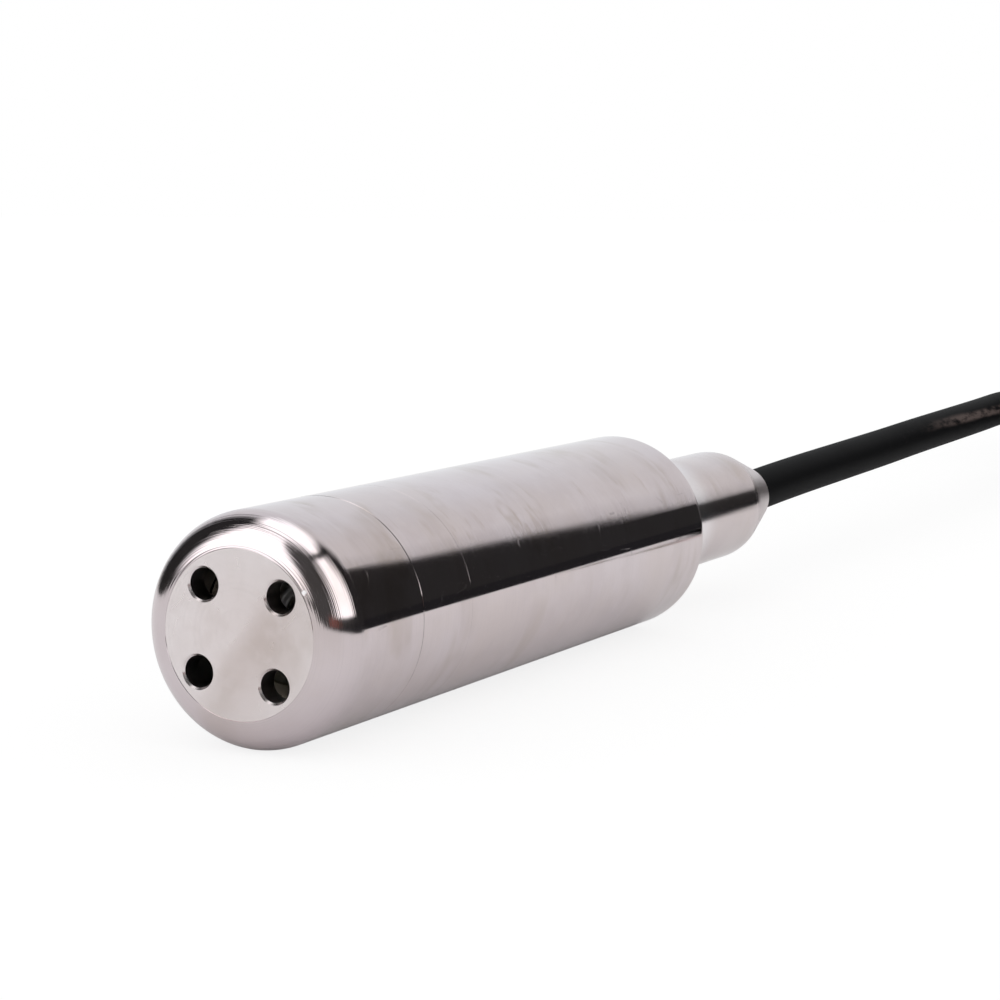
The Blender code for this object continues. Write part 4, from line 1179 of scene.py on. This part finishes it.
def makeRingNut():
    low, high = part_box("sensor_lock_ring")
    front, end, radius = low.x, high.x, high.y
    bore, edge = ringNut["bore"], ringNut["edge"]
    profile = [(front, bore + edge), (front, radius - edge), (front + edge, radius), (end - edge, radius)]
    profile += [(end, radius - edge), (end, bore + edge), (end - edge, bore), (front + edge, bore)]
    piece = turnedPiece("slottedRingNut", profile, ringNut["segments"], looks["nickel_brass"])
    half, reach = ringNut["slotWidth"] / 2, ringNut["slotReach"]
    low = (front - ringNut["slotPast"], -reach, -half)
    high = (front + ringNut["slotDepth"], reach, half)
    cut(piece, [cutter("spannerSlot", block("spannerSlot", low, high), (0, 0, 0))], 25)
    stands(piece, "probe", "nickel_brass", "sensor_lock_ring")


def block(name, low, high):
    shape = bmesh.new()
    bmesh.ops.create_cube(shape, size=1.0)
    for vert in shape.verts:
        vert.co = [low[k] + (vert.co[k] + 0.5) * (high[k] - low[k]) for k in range(3)]
    return meshOf(name, shape)


def joined(name, pieces, material):
    # One mesh of several shapes, each settled first
    shape = bmesh.new()
    for piece in pieces:
        shape.from_mesh(piece.data)
        bpy.data.objects.remove(piece)
    mesh = meshOf(name, shape)
    smooth(mesh, 30)
    return newPiece(name, mesh, material)


# Nylon ties round the hank's two runs: a toothed strap, a ratchet head and its cut tail
tie = {
    "thickness": 0.0012,
    "width": 0.0048,
    "corner": 0.0033,
    "cornerSteps": 8,
    "roundShare": 0.25,
    "clear": 0.0003,
    "toothPitch": 0.0011,
    "toothHeight": 0.00025,
    "toothLength": 0.0005,
    "toothShare": 0.62,
    "head": (0.0072, 0.0080, 0.0047),
    "headLift": 0.0003,
    "headEdge": 0.0005,
    "stub": 0.0030,
    "stubInset": (0.0024, 0.0012),
    "stubRoot": 0.0006,
    "stubEdge": 0.0002,
}


def toothMaker():
    # Small ridges at even steps along a curve
    maker = Maker("teethAlong", dict.fromkeys(("Pitch", "Width", "Height", "Length"), "Float"))
    marks = maker.add("GeometryNodeResampleCurve", {"mode": "LENGTH"}, {
        "Curve": maker.value("Geometry"), "Length": maker.value("Pitch"),
    })
    size = maker.add("ShaderNodeCombineXYZ", {}, {
        0: maker.value("Width"), 1: maker.value("Length"), 2: maker.value("Height"),
    })
    ridge = maker.add("GeometryNodeMeshCube", {}, {"Size": size})
    along = maker.add("GeometryNodeInputTangent")
    axes = {"axis": "Y", "pivot_axis": "X"}
    turn = maker.add("FunctionNodeAlignRotationToVector", axes, {"Vector": along})
    sockets = {"Points": marks, "Instance": ridge, "Rotation": turn}
    maker.finish(maker.add("GeometryNodeInstanceOnPoints", {}, sockets))
    return maker


teeth = toothMaker()


def roundedLoop(halfWidth, halfHeight, corner):
    # (y, z) points round a rectangle with round corners
    loop = []
    for side, level, start in ((1, 1, 0), (-1, 1, 90), (-1, -1, 180), (1, -1, 270)):
        y, z = side * (halfWidth - corner), level * (halfHeight - corner)
        loop += arc(y, z, corner, start, start + 90, tie["cornerSteps"])
    return loop


def strap(name, x, centreY, centreZ, halfWidth, halfHeight):
    # The strap's section swept round its loop, with rounded edges
    half, thick = tie["width"] / 2, tie["thickness"]
    edge = thick * tie["roundShare"]
    section = [
        (-half + edge, 0.0), (half - edge, 0.0), (half, edge), (half, thick - edge),
        (half - edge, thick), (-half + edge, thick), (-half, thick - edge), (-half, edge),
    ]
    shape = bmesh.new()
    rings = []
    for along, out in section:
        loop = roundedLoop(halfWidth + out, halfHeight + out, tie["corner"] + out)
        rings.append([shape.verts.new((x + along, centreY + y, centreZ + z)) for y, z in loop])
    for first, second in zip(rings, rings[1:] + rings[:1]):
        for k in range(len(first)):
            n = (k + 1) % len(first)
            shape.faces.new((first[k], first[n], second[n], second[k]))
    weld(shape, 1e-7)
    return newPiece(name, meshOf(name, shape))


def beveledBlock(name, low, high, width):
    piece = newPiece(name, block(name, low, high))
    step = piece.modifiers.new("round", "BEVEL")
    step.width = width
    step.segments = 3
    bpy.context.view_layer.update()
    return settled(piece, 30)


def makeTie(name, node, side):
    radius = cable["radius"]
    x = cable["nearX"] + cable["straight"] / 2
    centreY = cable["centreY"] + side * (cable["inner"] + (cable["columns"] - 1) * radius)
    centreZ = cable["bottomRow"] + (cable["rows"] - 1) * radius
    halfWidth = cable["columns"] * radius + tie["clear"]
    halfHeight = cable["rows"] * radius + tie["clear"]
    pieces = [strap(name + "Strap", x, centreY, centreZ, halfWidth, halfHeight)]
    loop = roundedLoop(halfWidth, halfHeight, tie["corner"])
    route = [(x, centreY + y, centreZ + z) for y, z in loop + loop[:1]]
    pieces.append(meshAlong(teeth, name + "Teeth", route, {
        "Material": looks["white_nylon"], "Pitch": tie["toothPitch"], "Length": tie["toothLength"],
        "Width": tie["width"] * tie["toothShare"], "Height": 2 * tie["toothHeight"],
    }))
    length, width, height = tie["head"]
    base = centreZ + halfHeight + tie["headLift"]
    top = base + height
    edgeY = centreY + width / 2
    low, high = (x - length / 2, centreY - width / 2, base), (x + length / 2, edgeY, top)
    pieces.append(beveledBlock(name + "Head", low, high, tie["headEdge"]))
    half = tie["width"] / 2
    far, near = tie["stubInset"]
    low = (x - half, edgeY - far, top - tie["stubRoot"])
    high = (x + half, edgeY - near, top + tie["stub"])
    pieces.append(beveledBlock(name + "Stub", low, high, tie["stubEdge"]))
    piece = joined(name, pieces, looks["white_nylon"])
    stands(piece, "probe", "white_nylon", node)
    return piece


# Stripped end: a shrink sleeve, the conductors, the air tube and the shield's drain
strippedEnd = {
    "x": 0.2300,
    "y": -0.0680,
    "overlap": 0.0040,
    "wireStart": 0.00015,
    "wireSteps": 0.0010,
    "wireSides": 16,
    # Node, slot, radius, length, place across and up in the sleeve, place across on the floor
    "wires": {
        "endWireRed": ("end_wire_red", "red_wire", 0.0009, 0.034, 0.0017, 0.0, 0.0065),
        "endWireBlack": ("end_wire_black", "black_wire", 0.0009, 0.036, -0.0017, 0.0, -0.0065),
        "endAirTube": ("end_vent_tube", "vent_tube", 0.0008, 0.022, 0.0, 0.0015, 0.0008),
        "endDrain": ("end_drain_wire", "tinned_copper", 0.0006, 0.026, 0.0, -0.0015, -0.0014),
    },
}

sleeve = {
    "length": 0.0160,
    "radius": 0.0043,
    "bore": 0.0037,
    "mouth": 0.0002,
    "shoulder": 0.0007,
    "folds": 12,
    "foldEnds": (0.0010, 0.0012),
    "foldDepth": 0.00006,
    "foldPhase": 5.1,
    "tail": (0.0004, 0.0001),
    "segments": 48,
}

ferrule = {
    "collar": 0.0014,
    "collarLength": 0.0060,
    # Distance before the collar's mouth, and share of its radius there
    "flare": [(0.0058, 0.72), (0.0030, 0.80), (0.0012, 0.90), (0.0002, 1.0)],
    "rim": 0.0001,
    "pin": 0.0006,
    "pinLength": 0.0080,
    "tip": (0.00012, 0.8),
    "flutes": 15,
    "fluteStart": 0.0002,
    "fluteStep": 0.0005,
    "fluteDepth": 0.00007,
    "past": 0.0003,
    "segments": 32,
}


def makeSleeve():
    length, radius, bore, mouth = sleeve["length"], sleeve["radius"], sleeve["bore"], sleeve["mouth"]
    profile = [(0.0, bore + mouth), (mouth, radius - mouth), (sleeve["shoulder"], radius)]
    near, far = sleeve["foldEnds"]
    for k in range(sleeve["folds"] + 1):
        x = near + (length - near - far) * k / sleeve["folds"]
        profile.append((x, radius - sleeve["foldDepth"] * (1 + math.sin(sleeve["foldPhase"] * k))))
    edge, fall = sleeve["tail"]
    profile += [(length - edge, radius - fall), (length, radius - edge), (length, bore), (edge, bore)]
    place = (strippedEnd["x"] - strippedEnd["overlap"], strippedEnd["y"], probe["floor"] + radius)
    piece = turnedPiece("shrinkSleeve", profile, sleeve["segments"], looks["black_rubber"], place)
    stands(piece, "probe", "black_rubber", "end_sleeve")
    return piece


def makeEndWires():
    pieces = []
    middle = probe["floor"] + sleeve["radius"]
    begin = strippedEnd["x"] - strippedEnd["wireStart"]
    y = strippedEnd["y"]
    for name, (node, slot, radius, length, side, lift, spread) in strippedEnd["wires"].items():
        conductor = "Wire" in name
        rest = probe["floor"] + (ferrule["collar"] if conductor else radius)
        level = middle + lift
        places = [
            (begin, y + side, level),
            (begin - length / 5, y + side, level),
            (begin - length / 2, y + (side + spread) / 2, (level + rest) / 2),
            (begin - length * 0.8, y + spread, rest),
            (begin - length, y + spread, rest),
        ]
        route, _ = curveThrough(places, strippedEnd["wireSteps"])
        piece = sweep(name, route, radius, strippedEnd["wireSides"], looks[slot])
        piece.visible_glossy = False
        stands(piece, "probe", slot, node)
        pieces.append(piece)
        if conductor:
            names = name.replace("Wire", "Ferrule"), node.replace("wire", "ferrule")
            pieces.append(makeFerrule(*names, places[-1]))
    return pieces


def makeFerrule(name, node, place):
    # A flared collar and a pin with crimped flutes along it
    pin, pinLength, collar = ferrule["pin"], ferrule["pinLength"], ferrule["collar"]
    total = ferrule["collarLength"] + pinLength
    tip, share = ferrule["tip"]
    profile = [(0.0, 0.0), (0.0, pin * share), (tip, pin)]
    for k in range(ferrule["flutes"]):
        x = ferrule["fluteStart"] + k * ferrule["fluteStep"]
        profile.append((x, pin - (ferrule["fluteDepth"] if k % 2 else 0.0)))
    profile.append((pinLength, pin))
    profile += [(total - before, collar * share) for before, share in ferrule["flare"]]
    profile += [(total, collar - ferrule["rim"]), (total, 0.0)]
    place = (place[0] - ferrule["past"] - total, place[1], probe["floor"] + collar)
    piece = turnedPiece(name, profile, ferrule["segments"], looks["tinned_copper"], place)
    stands(piece, "probe", "tinned_copper", node)
    return piece


makeLockRing()
makeDiaphragm()
makeRingNut()
onCable = [makeTie("tieLeft", "hank_tie_left", 1), makeTie("tieRight", "hank_tie_right", -1)]
onCable.append(makeSleeve())
onCable += makeEndWires()
print("seal, foil, ring nut, ties and stripped end")
